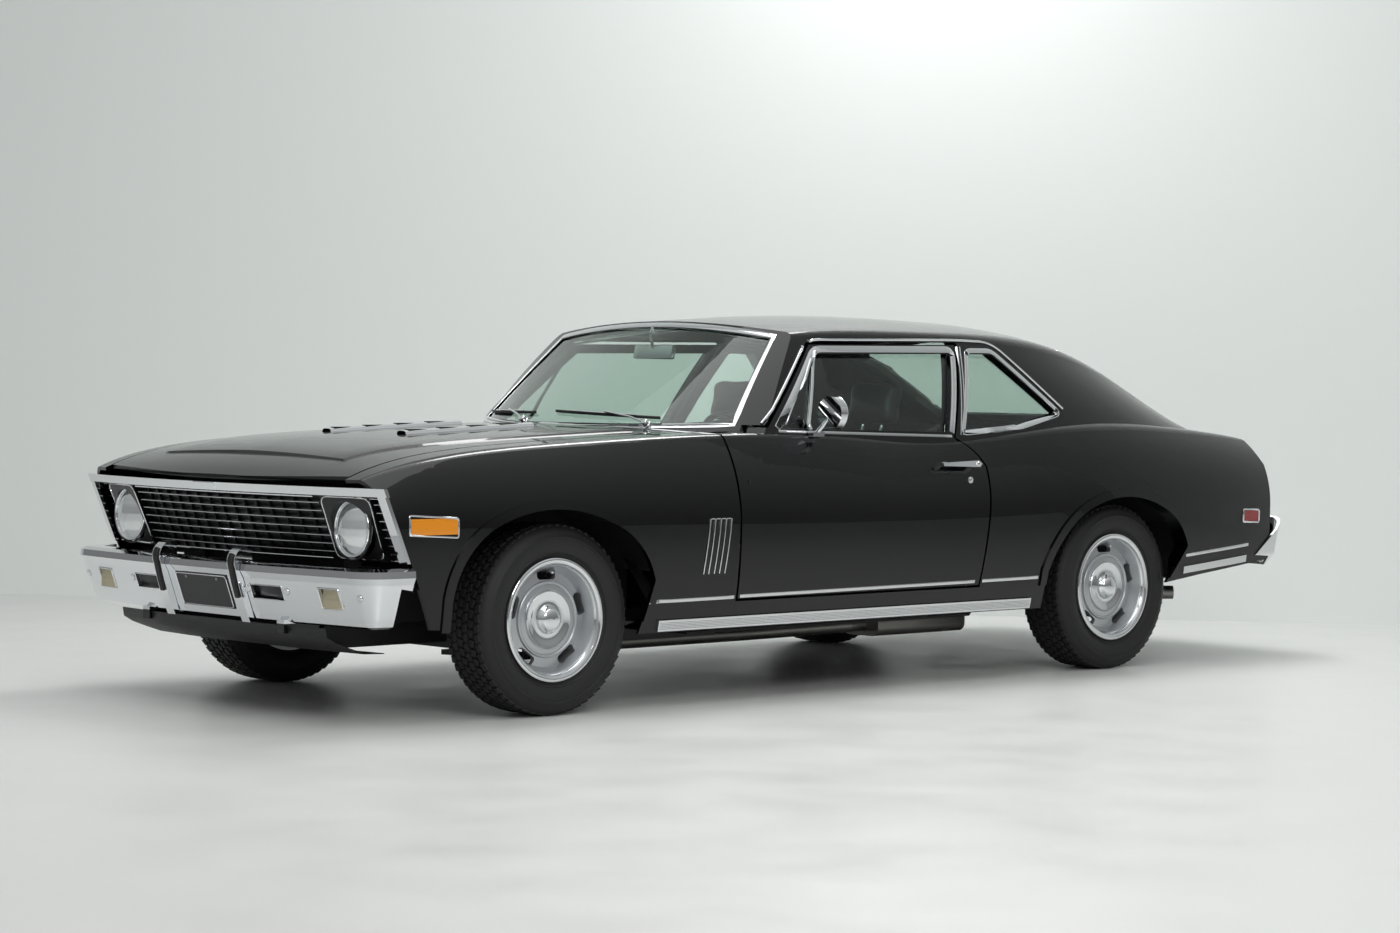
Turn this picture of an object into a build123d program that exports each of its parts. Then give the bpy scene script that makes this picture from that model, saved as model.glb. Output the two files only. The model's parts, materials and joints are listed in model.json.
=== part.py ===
from build123d import *

"""Two-door muscle car, with its opening doors, hood and deck lid, turning wheels and steering.

Everything is modelled in millimetres from the front axle: X to the car's left, Y to the rear,
Z up from the ground. The last step moves the whole car so that the origin lies on the ground
under the middle of its length.
"""

import math
import os
from functools import lru_cache

# Driving dimensions of the whole car
LENGTH = 4811.0
FRONT_OVERHANG = 865.0
WHEELBASE = 2819.0
TRACK = 1498.0
TAIL_Y = LENGTH - FRONT_OVERHANG

# Sheet metal and the space between panels
SKIN = 12.0
PANEL_GAP = 9.0
DOOR_THICKNESS = 75.0
QUARTER_THICKNESS = 60.0
FRAME_DEPTH = 34.0
GLASS = 5.0
SEAT_GAP = 0.3
BODY_FLOOR_CUT = 180.0

# Wheels and tyres
TYRE_RADIUS = 320.0
TYRE_WIDTH = 224.0
TREAD_WIDTH = 176.0
RIM_RADIUS = 190.5
RIM_FLANGE = 203.0
RIM_WIDTH = 178.0
DISH_DEPTH = 52.0
SPOKE_SLOTS = 5
SLOT_LENGTH = 78.0
SLOT_WIDTH = 30.0
SLOT_RADIUS = 147.0
SLOT_CORNER = 12.0
HUB_RADIUS = 62.0
CAP_RADIUS = 42.0
CAP_HEIGHT = 34.0

# Outer body, one row a station: how far behind the axle, half-width at the sill, widest
# half-width and its height, half-width and height of the shoulder, height of the crown on the
# centre line, and the radius that rounds the shoulder
BODY_STATIONS = [
    # y, sill, wide, z_wide, top, z_top, crown, corner
    (-810, 800, 842, 640, 762, 770, 782, 24),
    (-640, 822, 868, 640, 792, 830, 858, 34),
    (-300, 842, 898, 635, 800, 884, 910, 42),
    (200, 850, 909, 630, 804, 912, 934, 42),
    (800, 850, 911, 620, 806, 930, 950, 40),
    (1450, 850, 908, 612, 810, 914, 946, 38),
    (2050, 850, 907, 612, 816, 902, 944, 40),
    (2600, 850, 918, 625, 812, 948, 986, 60),
    (3150, 842, 912, 630, 792, 940, 985, 66),
    (3560, 826, 888, 625, 764, 905, 944, 52),
    (3880, 800, 850, 620, 738, 852, 876, 34),
]

# Cabin top, one row a station: how far behind the axle, half-width at the belt, half-width and
# height of the roof's edge, height on the centre line, and the radius that rounds the edge
ROOF_BASE_Z = 850.0
ROOF_STATIONS = [
    # y, belt, edge, z_edge, crown, corner
    (500, 822, 668, 1250, 1296, 50),
    (1200, 824, 650, 1282, 1332, 52),
    (1700, 826, 650, 1300, 1360, 60),
    (2200, 830, 646, 1292, 1358, 70),
    (2600, 834, 630, 1262, 1338, 90),
    (2950, 836, 600, 1178, 1268, 110),
    (3250, 830, 590, 1050, 1108, 110),
    (3540, 800, 660, 908, 930, 40),
]

# Windshield: two level arcs, each with its height, how far behind the axle its middle is, and
# how far behind the axle it is at the half-width GLASS_CORNER
GLASS_CORNER = 700.0
WINDSHIELD_LOW = (945.0, 690.0, 915.0)
WINDSHIELD_HIGH = (1329.0, 1205.0, 1320.0)
WINDSHIELD_RIM = 26.0

# Panel edges seen from the side, as distances behind the axle and heights
FENDER_REAR_Y = 776.0
SILL_TOP = 352.0
SILL_BOTTOM = 258.0
DOOR_BOTTOM = SILL_TOP + PANEL_GAP
DOOR_FRONT_Y = FENDER_REAR_Y + PANEL_GAP
DOOR_BELT_REAR = (1947.0, 908.0)
DOOR_HIP_REAR = (2062.0, 800.0)
DOOR_LOW_REAR_Y = 2006.0
FRAME_FRONT_LOW = (1015.0, 935.0)
FRAME_FRONT_HIGH = (1322.0, 1246.0)
FRAME_TOP_REAR = (2092.0, 1252.0)
FRAME_WIDTH = 34.0
QUARTER_TOP_REAR = (2300.0, 1232.0)
QUARTER_LOW_REAR = (2590.0, 1000.0)
JAMB_SKEW = 0.25

# Lids
HOOD_HALF = 700.0
HOOD_REAR_Y = 612.0
HOOD_FRONT_Y = -790.0
HOOD_THICKNESS = 16.0
DECK_HALF = 640.0
DECK_FRONT_Y = 3472.0
LID_HINGE_GAP = 12.0
LID_HINGE_RADIUS = 4.0
LID_KNUCKLE = 30.0
HOOD_HINGE = (392.0, 618.0, 944.0)
DECK_HINGE = (230.0, 3466.0, 951.5)

# Hinges
DOOR_HINGE_X = 884.0
DOOR_HINGE_BEHIND = 50.0
DOOR_HINGE_RADIUS = 8.0
DOOR_HINGE_HEIGHTS = (450.0, 730.0)
DOOR_FLANGE = 8.0
HINGE_HEIGHT = 36.0


def outline(plane, start, *steps):
    """Closed flat face. A step is an end point, or a pair: a point an arc passes, its end."""
    edges = []
    here = start
    for step in steps + (start,):
        if isinstance(step[0], tuple):
            via, end = step
            edges.append(
                Edge.make_three_point_arc(
                    plane.from_local_coords(Vector(*here)),
                    plane.from_local_coords(Vector(*via)),
                    plane.from_local_coords(Vector(*end)),
                )
            )
        else:
            end = step
            if math.dist(here, end) < 1e-6:
                continue
            edges.append(
                Edge.make_line(
                    plane.from_local_coords(Vector(*here)), plane.from_local_coords(Vector(*end))
                )
            )
        here = end
    return Face(Wire(edges))


SIDE = Plane(origin=(0, 0, 0), x_dir=(0, 1, 0), z_dir=(1, 0, 0))
PLAN = Plane.XY
FRONT = Plane(origin=(0, 0, 0), x_dir=(1, 0, 0), z_dir=(0, -1, 0))


def side_prism(x_low, x_high, start, *steps):
    """Prism across the car, from an outline of distances behind the axle and heights."""
    return extrude(Pos(x_low, 0, 0) * outline(SIDE, start, *steps), x_high - x_low, dir=(1, 0, 0))


def plan_prism(z_low, z_high, start, *steps):
    """Upright prism, from an outline seen from above."""
    return extrude(Pos(0, 0, z_low) * outline(PLAN, start, *steps), z_high - z_low, dir=(0, 0, 1))


def front_prism(y_low, y_high, start, *steps):
    """Prism along the car, from an outline seen from the front."""
    return extrude(Pos(0, y_low, 0) * outline(FRONT, start, *steps), y_high - y_low, dir=(0, 1, 0))


def block(x, y, z):
    """Box between the low and high value of each pair."""
    middle = ((x[0] + x[1]) / 2, (y[0] + y[1]) / 2, (z[0] + z[1]) / 2)
    return Pos(*middle) * Box(x[1] - x[0], y[1] - y[0], z[1] - z[0])


def rod(start, end, radius):
    """Round bar between two points."""
    start, end = Vector(*start), Vector(*end)
    way = end - start
    return extrude(Plane(origin=start, z_dir=way) * Circle(radius), way.length)


def mirrored(shape):
    """The same shape on the car's other side."""
    return mirror(shape, about=Plane.YZ)


def side_arc(low_x, low_z, high_x, high_z):
    """Centre and radius of the arc from the sill up to its upright end at the widest point."""
    across = high_x - low_x
    up = high_z - low_z
    radius = (across**2 + up**2) / (2 * across)
    return (high_x - radius, high_z), radius


def round_corner(side_centre, side_radius, crown_centre, crown_radius, corner):
    """Centre of the round that touches both arcs from inside, on the car's left."""
    a = side_radius - corner
    b = crown_radius - corner
    dx = crown_centre[0] - side_centre[0]
    dz = crown_centre[1] - side_centre[1]
    apart = math.hypot(dx, dz)
    along = (a**2 - b**2 + apart**2) / (2 * apart)
    aside = math.sqrt(max(a**2 - along**2, 0.0))
    foot = (side_centre[0] + along * dx / apart, side_centre[1] + along * dz / apart)
    options = [
        (foot[0] + sign * aside * dz / apart, foot[1] - sign * aside * dx / apart)
        for sign in (1, -1)
    ]
    return max(options, key=lambda point: point[0] + point[1])


def on_ray(centre, through, radius):
    """Point at a radius from a centre, on the line through another point."""
    dx, dz = through[0] - centre[0], through[1] - centre[1]
    reach = math.hypot(dx, dz)
    return (centre[0] + dx * radius / reach, centre[1] + dz * radius / reach)


def arc_middle(centre, start, end):
    """Middle of the short arc between two points about a centre."""
    middle = ((start[0] + end[0]) / 2, (start[1] + end[1]) / 2)
    return on_ray(centre, middle, math.dist(centre, start))


def section(y, right_half):
    """Closed wire across the car from the right half's edges, each (start, middle, end)."""
    edges = []
    bottom = right_half[0][0]
    edges.append(Edge.make_line((-bottom[0], y, bottom[1]), (bottom[0], y, bottom[1])))
    for start, middle, end in right_half[:-1]:
        edges.append(
            Edge.make_three_point_arc(
                (start[0], y, start[1]), (middle[0], y, middle[1]), (end[0], y, end[1])
            )
        )
    start, middle, end = right_half[-1]
    edges.append(
        Edge.make_three_point_arc((start[0], y, start[1]), (0, y, end[1]), (-start[0], y, start[1]))
    )
    for start, middle, end in reversed(right_half[:-1]):
        edges.append(
            Edge.make_three_point_arc(
                (-end[0], y, end[1]), (-middle[0], y, middle[1]), (-start[0], y, start[1])
            )
        )
    return Wire(edges)


def body_section(row, inset):
    """One section of the body, drawn in by an inset."""
    y, sill, wide, z_wide, top, z_top, crown, corner = row
    sill, wide, top = sill - inset, wide - inset, top - inset
    z_top, crown = z_top - inset, crown - inset
    corner = max(corner - inset, 12.0)
    low = BODY_FLOOR_CUT - max(inset, 0.0)
    lower_centre, lower_radius = side_arc(sill, low, wide, z_wide)
    upper_centre, upper_radius = side_arc(top, 2 * z_wide - z_top, wide, z_wide)
    rise = crown - z_top
    crown_radius = (top**2 + rise**2) / (2 * rise)
    crown_centre = (0.0, crown - crown_radius)
    round_centre = round_corner(upper_centre, upper_radius, crown_centre, crown_radius, corner)
    side_end = on_ray(upper_centre, round_centre, upper_radius)
    crown_start = on_ray(crown_centre, round_centre, crown_radius)
    half = [
        ((sill, low), arc_middle(lower_centre, (sill, low), (wide, z_wide)), (wide, z_wide)),
        ((wide, z_wide), arc_middle(upper_centre, (wide, z_wide), side_end), side_end),
        (side_end, arc_middle(round_centre, side_end, crown_start), crown_start),
        (crown_start, None, (0, crown)),
    ]
    return section(y, half)


def roof_section(row, inset):
    """One section of the cabin top, drawn in by an inset."""
    y, belt, edge, z_edge, crown, corner = row
    belt, edge = belt - inset, edge - inset
    z_edge, crown = z_edge - inset, crown - inset
    corner = max(corner - inset, 12.0)
    low = ROOF_BASE_Z - max(inset, 0.0)
    bulge = 0.04 * math.dist((belt, low), (edge, z_edge))
    slope = (z_edge - low, belt - edge)
    length = math.hypot(*slope)
    middle = (
        (belt + edge) / 2 + bulge * slope[0] / length,
        (low + z_edge) / 2 + bulge * slope[1] / length,
    )
    side_radius = (length**2 / 4 + bulge**2) / (2 * bulge)
    side_centre = (
        middle[0] - side_radius * slope[0] / length,
        middle[1] - side_radius * slope[1] / length,
    )
    rise = crown - z_edge
    crown_radius = (edge**2 + rise**2) / (2 * rise)
    crown_centre = (0.0, crown - crown_radius)
    round_centre = round_corner(side_centre, side_radius, crown_centre, crown_radius, corner)
    side_end = on_ray(side_centre, round_centre, side_radius)
    crown_start = on_ray(crown_centre, round_centre, crown_radius)
    half = [
        ((belt, low), arc_middle(side_centre, (belt, low), side_end), side_end),
        (side_end, arc_middle(round_centre, side_end, crown_start), crown_start),
        (crown_start, None, (0, crown)),
    ]
    return section(y, half)


@lru_cache(maxsize=None)
def body_loft(inset=0.0):
    return Solid.make_loft([body_section(row, inset) for row in BODY_STATIONS])


@lru_cache(maxsize=None)
def roof_loft(inset=0.0):
    return Solid.make_loft([roof_section(row, inset) for row in ROOF_STATIONS])


def glass_arc(z):
    """Where the windshield's surface is at a height: its middle and its corners."""
    share = (z - WINDSHIELD_LOW[0]) / (WINDSHIELD_HIGH[0] - WINDSHIELD_LOW[0])
    middle = WINDSHIELD_LOW[1] + share * (WINDSHIELD_HIGH[1] - WINDSHIELD_LOW[1])
    corner = WINDSHIELD_LOW[2] + share * (WINDSHIELD_HIGH[2] - WINDSHIELD_LOW[2])
    return middle, corner


@lru_cache(maxsize=None)
def behind_windshield(shift):
    """Space behind the windshield's surface, moved back by a shift."""
    faces = []
    for z in (ROOF_BASE_Z - 100, 1450.0):
        middle, corner = glass_arc(z)
        sag = corner - middle
        radius = (GLASS_CORNER**2 + sag**2) / (2 * sag)
        half = 860.0
        edge_y = middle + radius - math.sqrt(max(radius**2 - half**2, 1.0)) + shift
        back = 5000.0
        wire = Wire(
            [
                Edge.make_three_point_arc(
                    (-half, edge_y, z), (0, middle + shift, z), (half, edge_y, z)
                ),
                Edge.make_line((half, edge_y, z), (half, back, z)),
                Edge.make_line((half, back, z), (-half, back, z)),
                Edge.make_line((-half, back, z), (-half, edge_y, z)),
            ]
        )
        faces.append(wire)
    return Solid.make_loft(faces, ruled=True)


# Shared bodies that the panels are cut from
OUTER = body_loft()
CABIN = roof_loft() & behind_windshield(0)
ROOM = roof_loft(FRAME_DEPTH) & behind_windshield(WINDSHIELD_RIM)
ROOM = ROOM & block((-1000, 1000), (400, DECK_FRONT_Y - 30), (700, 1500))


@lru_cache(maxsize=None)
def sheet(outset, inset):
    """The body's skin between an outset and an inset, open below."""
    return body_loft(-outset) - body_loft(inset)


@lru_cache(maxsize=None)
def side_sheet(outset, inset):
    """The same, of the car's left side only."""
    return (body_loft(-outset) & block((400, 1000), (-900, 3900), (100, 1100))) - body_loft(inset)


@lru_cache(maxsize=None)
def roof_sheet(outset, inset):
    """The cabin top's skin between two insets."""
    return roof_loft(outset) - roof_loft(inset)


# Front end: the grille, lamps and their chrome frame follow a bowed, leaning plane
BOW = 100.0
BOW_HALF = 873.0
GRILLE_TOP = 742.0
GRILLE_BOTTOM = 528.0
GRILLE_HALF = 834.0
LAMP_X = 654.0
LAMP_Z = 634.0
LAMP_RADIUS = 89.0
LAMP_DOME = 22.0
BEZEL_HALF = 118.0
GRILLE_BARS = 7
GRILLE_UPRIGHTS = 15
OUTER_UPRIGHTS = (790.0, 812.0)
FACE_TOP_Y = -812.0
LEAN = 0.42
HEADER_HEIGHT = 27.0


def bowed(y_front, depth, x_half, z_low, z_high):
    """Bar that follows the bow of the car's face, leaning back towards its foot."""
    radius = (BOW_HALF**2 + BOW**2) / (2 * BOW)
    sag = radius - math.sqrt(radius**2 - x_half**2)
    bar = plan_prism(
        0, 1,
        (-x_half, y_front + sag), ((0, y_front), (x_half, y_front + sag)),
        (x_half, y_front + sag + depth), ((0, y_front + depth), (-x_half, y_front + sag + depth)),
    )
    face = bar.faces().sort_by(Axis.Z)[0]
    height = z_high - z_low
    lean = LEAN * height
    low_y = LEAN * (GRILLE_TOP - z_low)
    return extrude(Pos(0, low_y, z_low) * face, math.hypot(height, lean), dir=(0, -lean, height))


# Everything behind the chrome frame's back: the fenders and the hood start there
ARM_DEPTH = 14.0
HEADER_DEPTH = 36.0
FRAME_Y = FACE_TOP_Y - 6.0
BEHIND_ARMS = bowed(FRAME_Y + ARM_DEPTH + SEAT_GAP, 1750, 1000, 200, 1100)
BEHIND_HEADER = bowed(FRAME_Y + HEADER_DEPTH + PANEL_GAP, 1450, 800, 650, 1100)
GRILLE_SPACE = bowed(
    FACE_TOP_Y + 20, 38, GRILLE_HALF + SEAT_GAP, GRILLE_BOTTOM - SEAT_GAP, GRILLE_TOP + SEAT_GAP
)


def arch(axle_y, rows):
    """Wheel arch opening: slanting legs, and arcs through the rows' points."""
    foot_f, (front_y, front_z), front_arc, crown_start, crown, crown_end, rear_arc, rear, foot_r = [
        (axle_y + y, z) for y, z in rows
    ]
    return side_prism(
        400, 1000,
        foot_f,
        (front_y, front_z),
        (front_arc, crown_start),
        (crown, crown_end),
        (rear_arc, rear),
        foot_r,
    )


# Wheel arches, points from the axle: foot and top of the front leg, arc, start of the crown, top
# of the crown, end of the crown, arc, top and foot of the rear leg
FRONT_ARCH = [
    (-455, 200), (-455, 400), (-396, 552), (-268, 648), (-30, 690), (190, 640), (345, 530),
    (392, 440), (330, 200),
]
REAR_ARCH = [
    (-452, 200), (-440, 400), (-360, 530), (-225, 628), (20, 672), (215, 625), (330, 545),
    (378, 470), (212, 240),
]
TYRE_SIDE_X = TRACK / 2 + TYRE_WIDTH / 2 + 10.0
LIP_WIDTH = 34.0
LIP_STAND = 7.0


def grown(rows, margin):
    """The arch's points pushed out from the middle of the opening."""
    middle_z = 300.0
    out = []
    for y, z in rows:
        reach = math.hypot(y, z - middle_z)
        out.append((y * (1 + margin / reach), middle_z + (z - middle_z) * (1 + margin / reach)))
    return out


def arch_lip(axle_y, rows):
    band = arch(axle_y, grown(rows, LIP_WIDTH)) - arch(axle_y, rows)
    low = 300 if axle_y == 0 else 345
    return (side_sheet(LIP_STAND, SKIN) & band) & block((500, 1000), (axle_y - 600, axle_y + 600), (low, 800))


def largest(shape):
    """The biggest solid of a shape."""
    return max(shape.solids(), key=lambda solid: solid.volume)


def fender():
    region = side_prism(
        HOOD_HALF + PANEL_GAP, 1000,
        (-900, 1000),
        (-900, 330),
        (-300, 300),
        (300, SILL_BOTTOM),
        (FENDER_REAR_Y, SILL_BOTTOM),
        (FENDER_REAR_Y, 1000),
    )
    body = (side_sheet(0, SKIN) & region & BEHIND_ARMS) - arch(0, FRONT_ARCH) - GRILLE_SPACE
    lip = arch_lip(0, FRONT_ARCH)
    return largest(body + lip)


def door_outline(margin):
    """Outline of the door with its window frame, pushed out by a margin."""
    m = margin
    return [
        (DOOR_FRONT_Y - m, DOOR_BOTTOM - m),
        (DOOR_FRONT_Y - m, FRAME_FRONT_LOW[1] + 15 + m),
        (FRAME_FRONT_LOW[0] - m, FRAME_FRONT_LOW[1] + 15 + m),
        (FRAME_FRONT_HIGH[0] - m, FRAME_FRONT_HIGH[1] + m),
        (FRAME_TOP_REAR[0] + m, FRAME_TOP_REAR[1] + m),
        (DOOR_BELT_REAR[0] + m, DOOR_BELT_REAR[1]),
        (DOOR_HIP_REAR[0] + m, DOOR_HIP_REAR[1]),
        (DOOR_LOW_REAR_Y + m, DOOR_BOTTOM - m),
    ]


def behind_door(gap):
    """Space behind the door's rear edge. Its face slants so that the door swings clear."""
    skin_x = 1000.0
    edge = []
    # height of the edge's points, how far behind the axle, and where the skin is there
    for z, y, x in (
        (1500.0, FRAME_TOP_REAR[0] + 105.0, 560.0),
        (FRAME_TOP_REAR[1], FRAME_TOP_REAR[0], 650.0),
        (DOOR_BELT_REAR[1], DOOR_BELT_REAR[0], 815.0),
        (DOOR_HIP_REAR[1], DOOR_HIP_REAR[0], 885.0),
        (DOOR_BOTTOM, DOOR_LOW_REAR_Y, 880.0),
        (100.0, DOOR_LOW_REAR_Y - 20.0, 860.0),
    ):
        edge.append((y + JAMB_SKEW * (skin_x - x) + gap, z))
    belt_middle = (
        (edge[2][0] + edge[3][0]) / 2 + 14.0,
        (edge[2][1] + edge[3][1]) / 2 + 6.0,
    )
    face = outline(
        SIDE, edge[0], edge[1], edge[2], (belt_middle, edge[3]), edge[4], edge[5],
        (4300, 100), (4300, 1500),
    )
    face = Pos(skin_x, 0, 0) * face
    return extrude(face, 620, dir=(-1, -JAMB_SKEW, 0))


def window_outline():
    w = FRAME_WIDTH
    return [
        (FRAME_FRONT_LOW[0] + w + 22, FRAME_FRONT_LOW[1] + 12),
        (FRAME_FRONT_HIGH[0] + w * 0.75, FRAME_FRONT_HIGH[1] - w),
        (FRAME_TOP_REAR[0] - w - 8, FRAME_TOP_REAR[1] - w),
        (DOOR_BELT_REAR[0] - w + 6, DOOR_BELT_REAR[1] + 20),
    ]


SIDE_WALL = roof_sheet(0, FRAME_DEPTH) & behind_windshield(0)
BEHIND_DOOR_EDGE = behind_door(0)
BEHIND_JAMB = behind_door(PANEL_GAP)
DOOR_AXIS_Y = DOOR_FRONT_Y + DOOR_HINGE_BEHIND


def hinge_barrel(z_low, z_high):
    return Pos(DOOR_HINGE_X, DOOR_AXIS_Y, (z_low + z_high) / 2) * Cylinder(
        DOOR_HINGE_RADIUS, z_high - z_low
    )


def door():
    lower = side_sheet(0, DOOR_THICKNESS) & side_prism(
        HOOD_HALF + 58, 1000, *door_outline(0)[:3],
        (DOOR_BELT_REAR[0] + 200, FRAME_FRONT_LOW[1] + 15),
        (DOOR_BELT_REAR[0] + 200, DOOR_BOTTOM),
    )
    frame = SIDE_WALL & side_prism(500, 1000, *door_outline(0))
    whole = (lower - ROOM) + frame
    whole = whole - side_prism(500, 1000, *window_outline()) - BEHIND_DOOR_EDGE
    # Ahead of the hinge only the outer skin runs on, so that the hinge has its room
    front = block((600, 1000), (DOOR_FRONT_Y - 20, DOOR_AXIS_Y + 16), (300, 905))
    whole = whole - (front & body_loft(DOOR_FLANGE))
    whole = largest(whole)
    for z in DOOR_HINGE_HEIGHTS:
        for low in (z - HINGE_HEIGHT / 2 - 22, z + HINGE_HEIGHT / 2):
            lug = hinge_barrel(low + SEAT_GAP, low + 22 - SEAT_GAP) + block(
                (DOOR_HINGE_X - 34, DOOR_HINGE_X),
                (DOOR_AXIS_Y - 4, DOOR_AXIS_Y + 20),
                (low + SEAT_GAP, low + 22 - SEAT_GAP),
            )
            whole = whole + lug
    return largest(whole)


GLASS_OUT = 12.0


def side_glass(points):
    return largest(roof_sheet(GLASS_OUT, GLASS_OUT + GLASS) & side_prism(500, 1000, *points))


def quarter_window():
    w = FRAME_WIDTH
    return [
        (DOOR_BELT_REAR[0] + PANEL_GAP + w + 22, DOOR_BELT_REAR[1] + 18),
        (FRAME_TOP_REAR[0] + PANEL_GAP + w + 14, FRAME_TOP_REAR[1] - w),
        (QUARTER_TOP_REAR[0] - 18, QUARTER_TOP_REAR[1] - 14),
        (QUARTER_LOW_REAR[0] - 30, QUARTER_LOW_REAR[1] - 8),
        ((2330, 938), (DOOR_BELT_REAR[0] + PANEL_GAP + w + 22, DOOR_BELT_REAR[1] + 18)),
    ]


TAIL_SHEET = 14.0


def tail_space(forward):
    """Everything ahead of the car's tail face, which leans in above and bows in plan."""
    lean = side_prism(
        -1000, 1000,
        (-1200, 100), (3790, 100), (3790, 400), (3842, 590), (3834, 680), (3766, 800),
        (3722, 900), (3690, 1500), (-1200, 1500),
    )
    bow = plan_prism(
        50, 1600, (-1000, -1300), (1000, -1300), (1000, 3740), ((0, 3852), (-1000, 3740))
    )
    return Pos(0, -forward, 0) * (lean & bow)


TAIL_SPACE = tail_space(0)
TAIL_INNER = tail_space(TAIL_SHEET)
TAIL_FACE = (OUTER & TAIL_SPACE) - TAIL_INNER
BACKLIGHT = [(-545, 2822), ((0, 2806), (545, 2822)), (600, 3392), ((0, 3432), (-600, 3392))]
FILLER_HALF = 612.0
ROOF_REAR_Y = 2826.0
ROOF_SPLIT = [(2101, 1258), (2310, 1258), (ROOF_REAR_Y, 1230)]


def backlight_prism(z_low, z_high):
    return plan_prism(z_low, z_high, *BACKLIGHT)


def deck_prism(side_gap, front_gap):
    half = DECK_HALF + side_gap
    front = DECK_FRONT_Y - front_gap
    return plan_prism(760, 1100, (-half, front), (half, front), (half, 4000), (-half, 4000))


DECK_SPACE = deck_prism(PANEL_GAP, LID_HINGE_GAP)
SHELF_REAR_Y = DECK_FRONT_Y - LID_HINGE_GAP


def quarter():
    wall = (side_sheet(0, QUARTER_THICKNESS) & side_prism(
        400, 1000, (1900, SILL_BOTTOM), (2500, SILL_BOTTOM), (3300, 352), (3900, 410),
        (3900, 1100), (1900, 1100),
    )) & BEHIND_JAMB & TAIL_INNER
    wall = wall - ROOM - DECK_SPACE - arch(WHEELBASE, REAR_ARCH)
    wall = wall - plan_prism(
        700, 1100, (0, 3300), (FILLER_HALF, 3300), (FILLER_HALF, 3600), (0, 3600)
    )
    sail = SIDE_WALL & BEHIND_JAMB & side_prism(
        0, 1000, (1800, 850), ROOF_SPLIT[0], ROOF_SPLIT[1], ROOF_SPLIT[2], (ROOF_REAR_Y, 1500),
        (SHELF_REAR_Y, 1500), (SHELF_REAR_Y, 850),
    )
    sail = sail - plan_prism(700, 1500, (-FILLER_HALF, 3380), (FILLER_HALF, 3380),
                             (FILLER_HALF, 3600), (-FILLER_HALF, 3600))
    sail = sail - backlight_prism(800, 1500)
    sail = sail - block((-500, 500), (2700, 3500), (800, 1500))
    sill = side_sheet(0, DOOR_THICKNESS) & block(
        (500, 1000), (DOOR_FRONT_Y - PANEL_GAP + 0.5, 2100), (SILL_BOTTOM, SILL_TOP)
    )
    whole = wall + sail + sill - side_prism(500, 1000, *quarter_window())
    wheel_room = rod((600, WHEELBASE, TYRE_RADIUS), (TYRE_SIDE_X, WHEELBASE, TYRE_RADIUS), TYRE_RADIUS + 30)
    return largest((whole - wheel_room) + arch_lip(WHEELBASE, REAR_ARCH))


def windshield_opening(y_low=400, y_high=1500):
    return front_prism(
        y_low, y_high, (-690, 962), ((0, 950), (690, 962)), (584, 1266), ((0, 1308), (-584, 1266))
    )


def roof():
    above = side_prism(
        -1000, 1000, (300, 850), (1000, 850), (1331, 1258), (2101, 1258), ROOF_SPLIT[1],
        ROOF_SPLIT[2], (ROOF_REAR_Y, 1500), (300, 1500),
    )
    rim = CABIN - behind_windshield(WINDSHIELD_RIM)
    top = (SIDE_WALL + rim) & above
    cut = (CABIN - roof_loft(FRAME_DEPTH + 14)) & side_prism(500, 1000, *door_outline(PANEL_GAP))
    top = top - cut - mirrored(cut)
    top = top - windshield_opening() - backlight_prism(1000, 1500)
    floor = block((-1000, 1000), (300, 1300), (800, 936))
    return largest(top - floor)


def windshield():
    layer = behind_windshield(8) - behind_windshield(8 + GLASS)
    return largest(CABIN & layer & windshield_opening())


def rear_window():
    return largest(roof_sheet(8, 8 + GLASS) & backlight_prism(950, 1400))


def lid_knuckle(hinge, side, first, edge_y):
    """Half of a lid's hinge: a short barrel on the hinge line and a leaf to the panel's edge."""
    x, y, z = hinge
    low = x + (SEAT_GAP if first else -LID_KNUCKLE)
    span = sorted((side * low, side * (low + LID_KNUCKLE - SEAT_GAP)))
    barrel = rod((span[0], y, z), (span[1], y, z), LID_HINGE_RADIUS)
    return barrel + block(span, sorted((y, edge_y)), (z - 12, z - 1))


def with_knuckles(panel, hinge, first, edge_y):
    """A panel with its halves of the two hinges."""
    for side in (-1, 1):
        panel = panel + lid_knuckle(hinge, side, first, edge_y)
    return largest(panel)


def hood_prism(margin):
    half = HOOD_HALF + margin
    rear = HOOD_REAR_Y + margin
    return plan_prism(
        700, 1100, (-half, HOOD_FRONT_Y), (half, HOOD_FRONT_Y), (half, rear), (-half, rear)
    )


def hood():
    skin = sheet(0, HOOD_THICKNESS) & hood_prism(0) & BEHIND_HEADER
    return with_knuckles(largest(skin), HOOD_HINGE, 1, HOOD_REAR_Y - 14)


def deck_lid():
    top = sheet(0, HOOD_THICKNESS) & TAIL_SPACE
    lid = (top + TAIL_FACE) & deck_prism(0, 0) & block((-800, 800), (3400, 3900), (790, 1100))
    return with_knuckles(largest(lid), DECK_HINGE, 1, DECK_FRONT_Y + 14)


TAIL_LAMP_X = (434.0, 736.0)
TAIL_LAMP_Z = (624.0, 702.0)


def tail_panel():
    back = TAIL_FACE & block((-1000, 1000), (3600, 3900), (400, 1000))
    back = back - (DECK_SPACE & block((-800, 800), (3400, 3900), (790 - PANEL_GAP, 1100)))
    for side in (-1, 1):
        back = back - block(
            sorted((side * TAIL_LAMP_X[0], side * TAIL_LAMP_X[1])), (3700, 3900),
            (TAIL_LAMP_Z[0] - SEAT_GAP, TAIL_LAMP_Z[1] + SEAT_GAP),
        )
    return largest(back)


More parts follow.
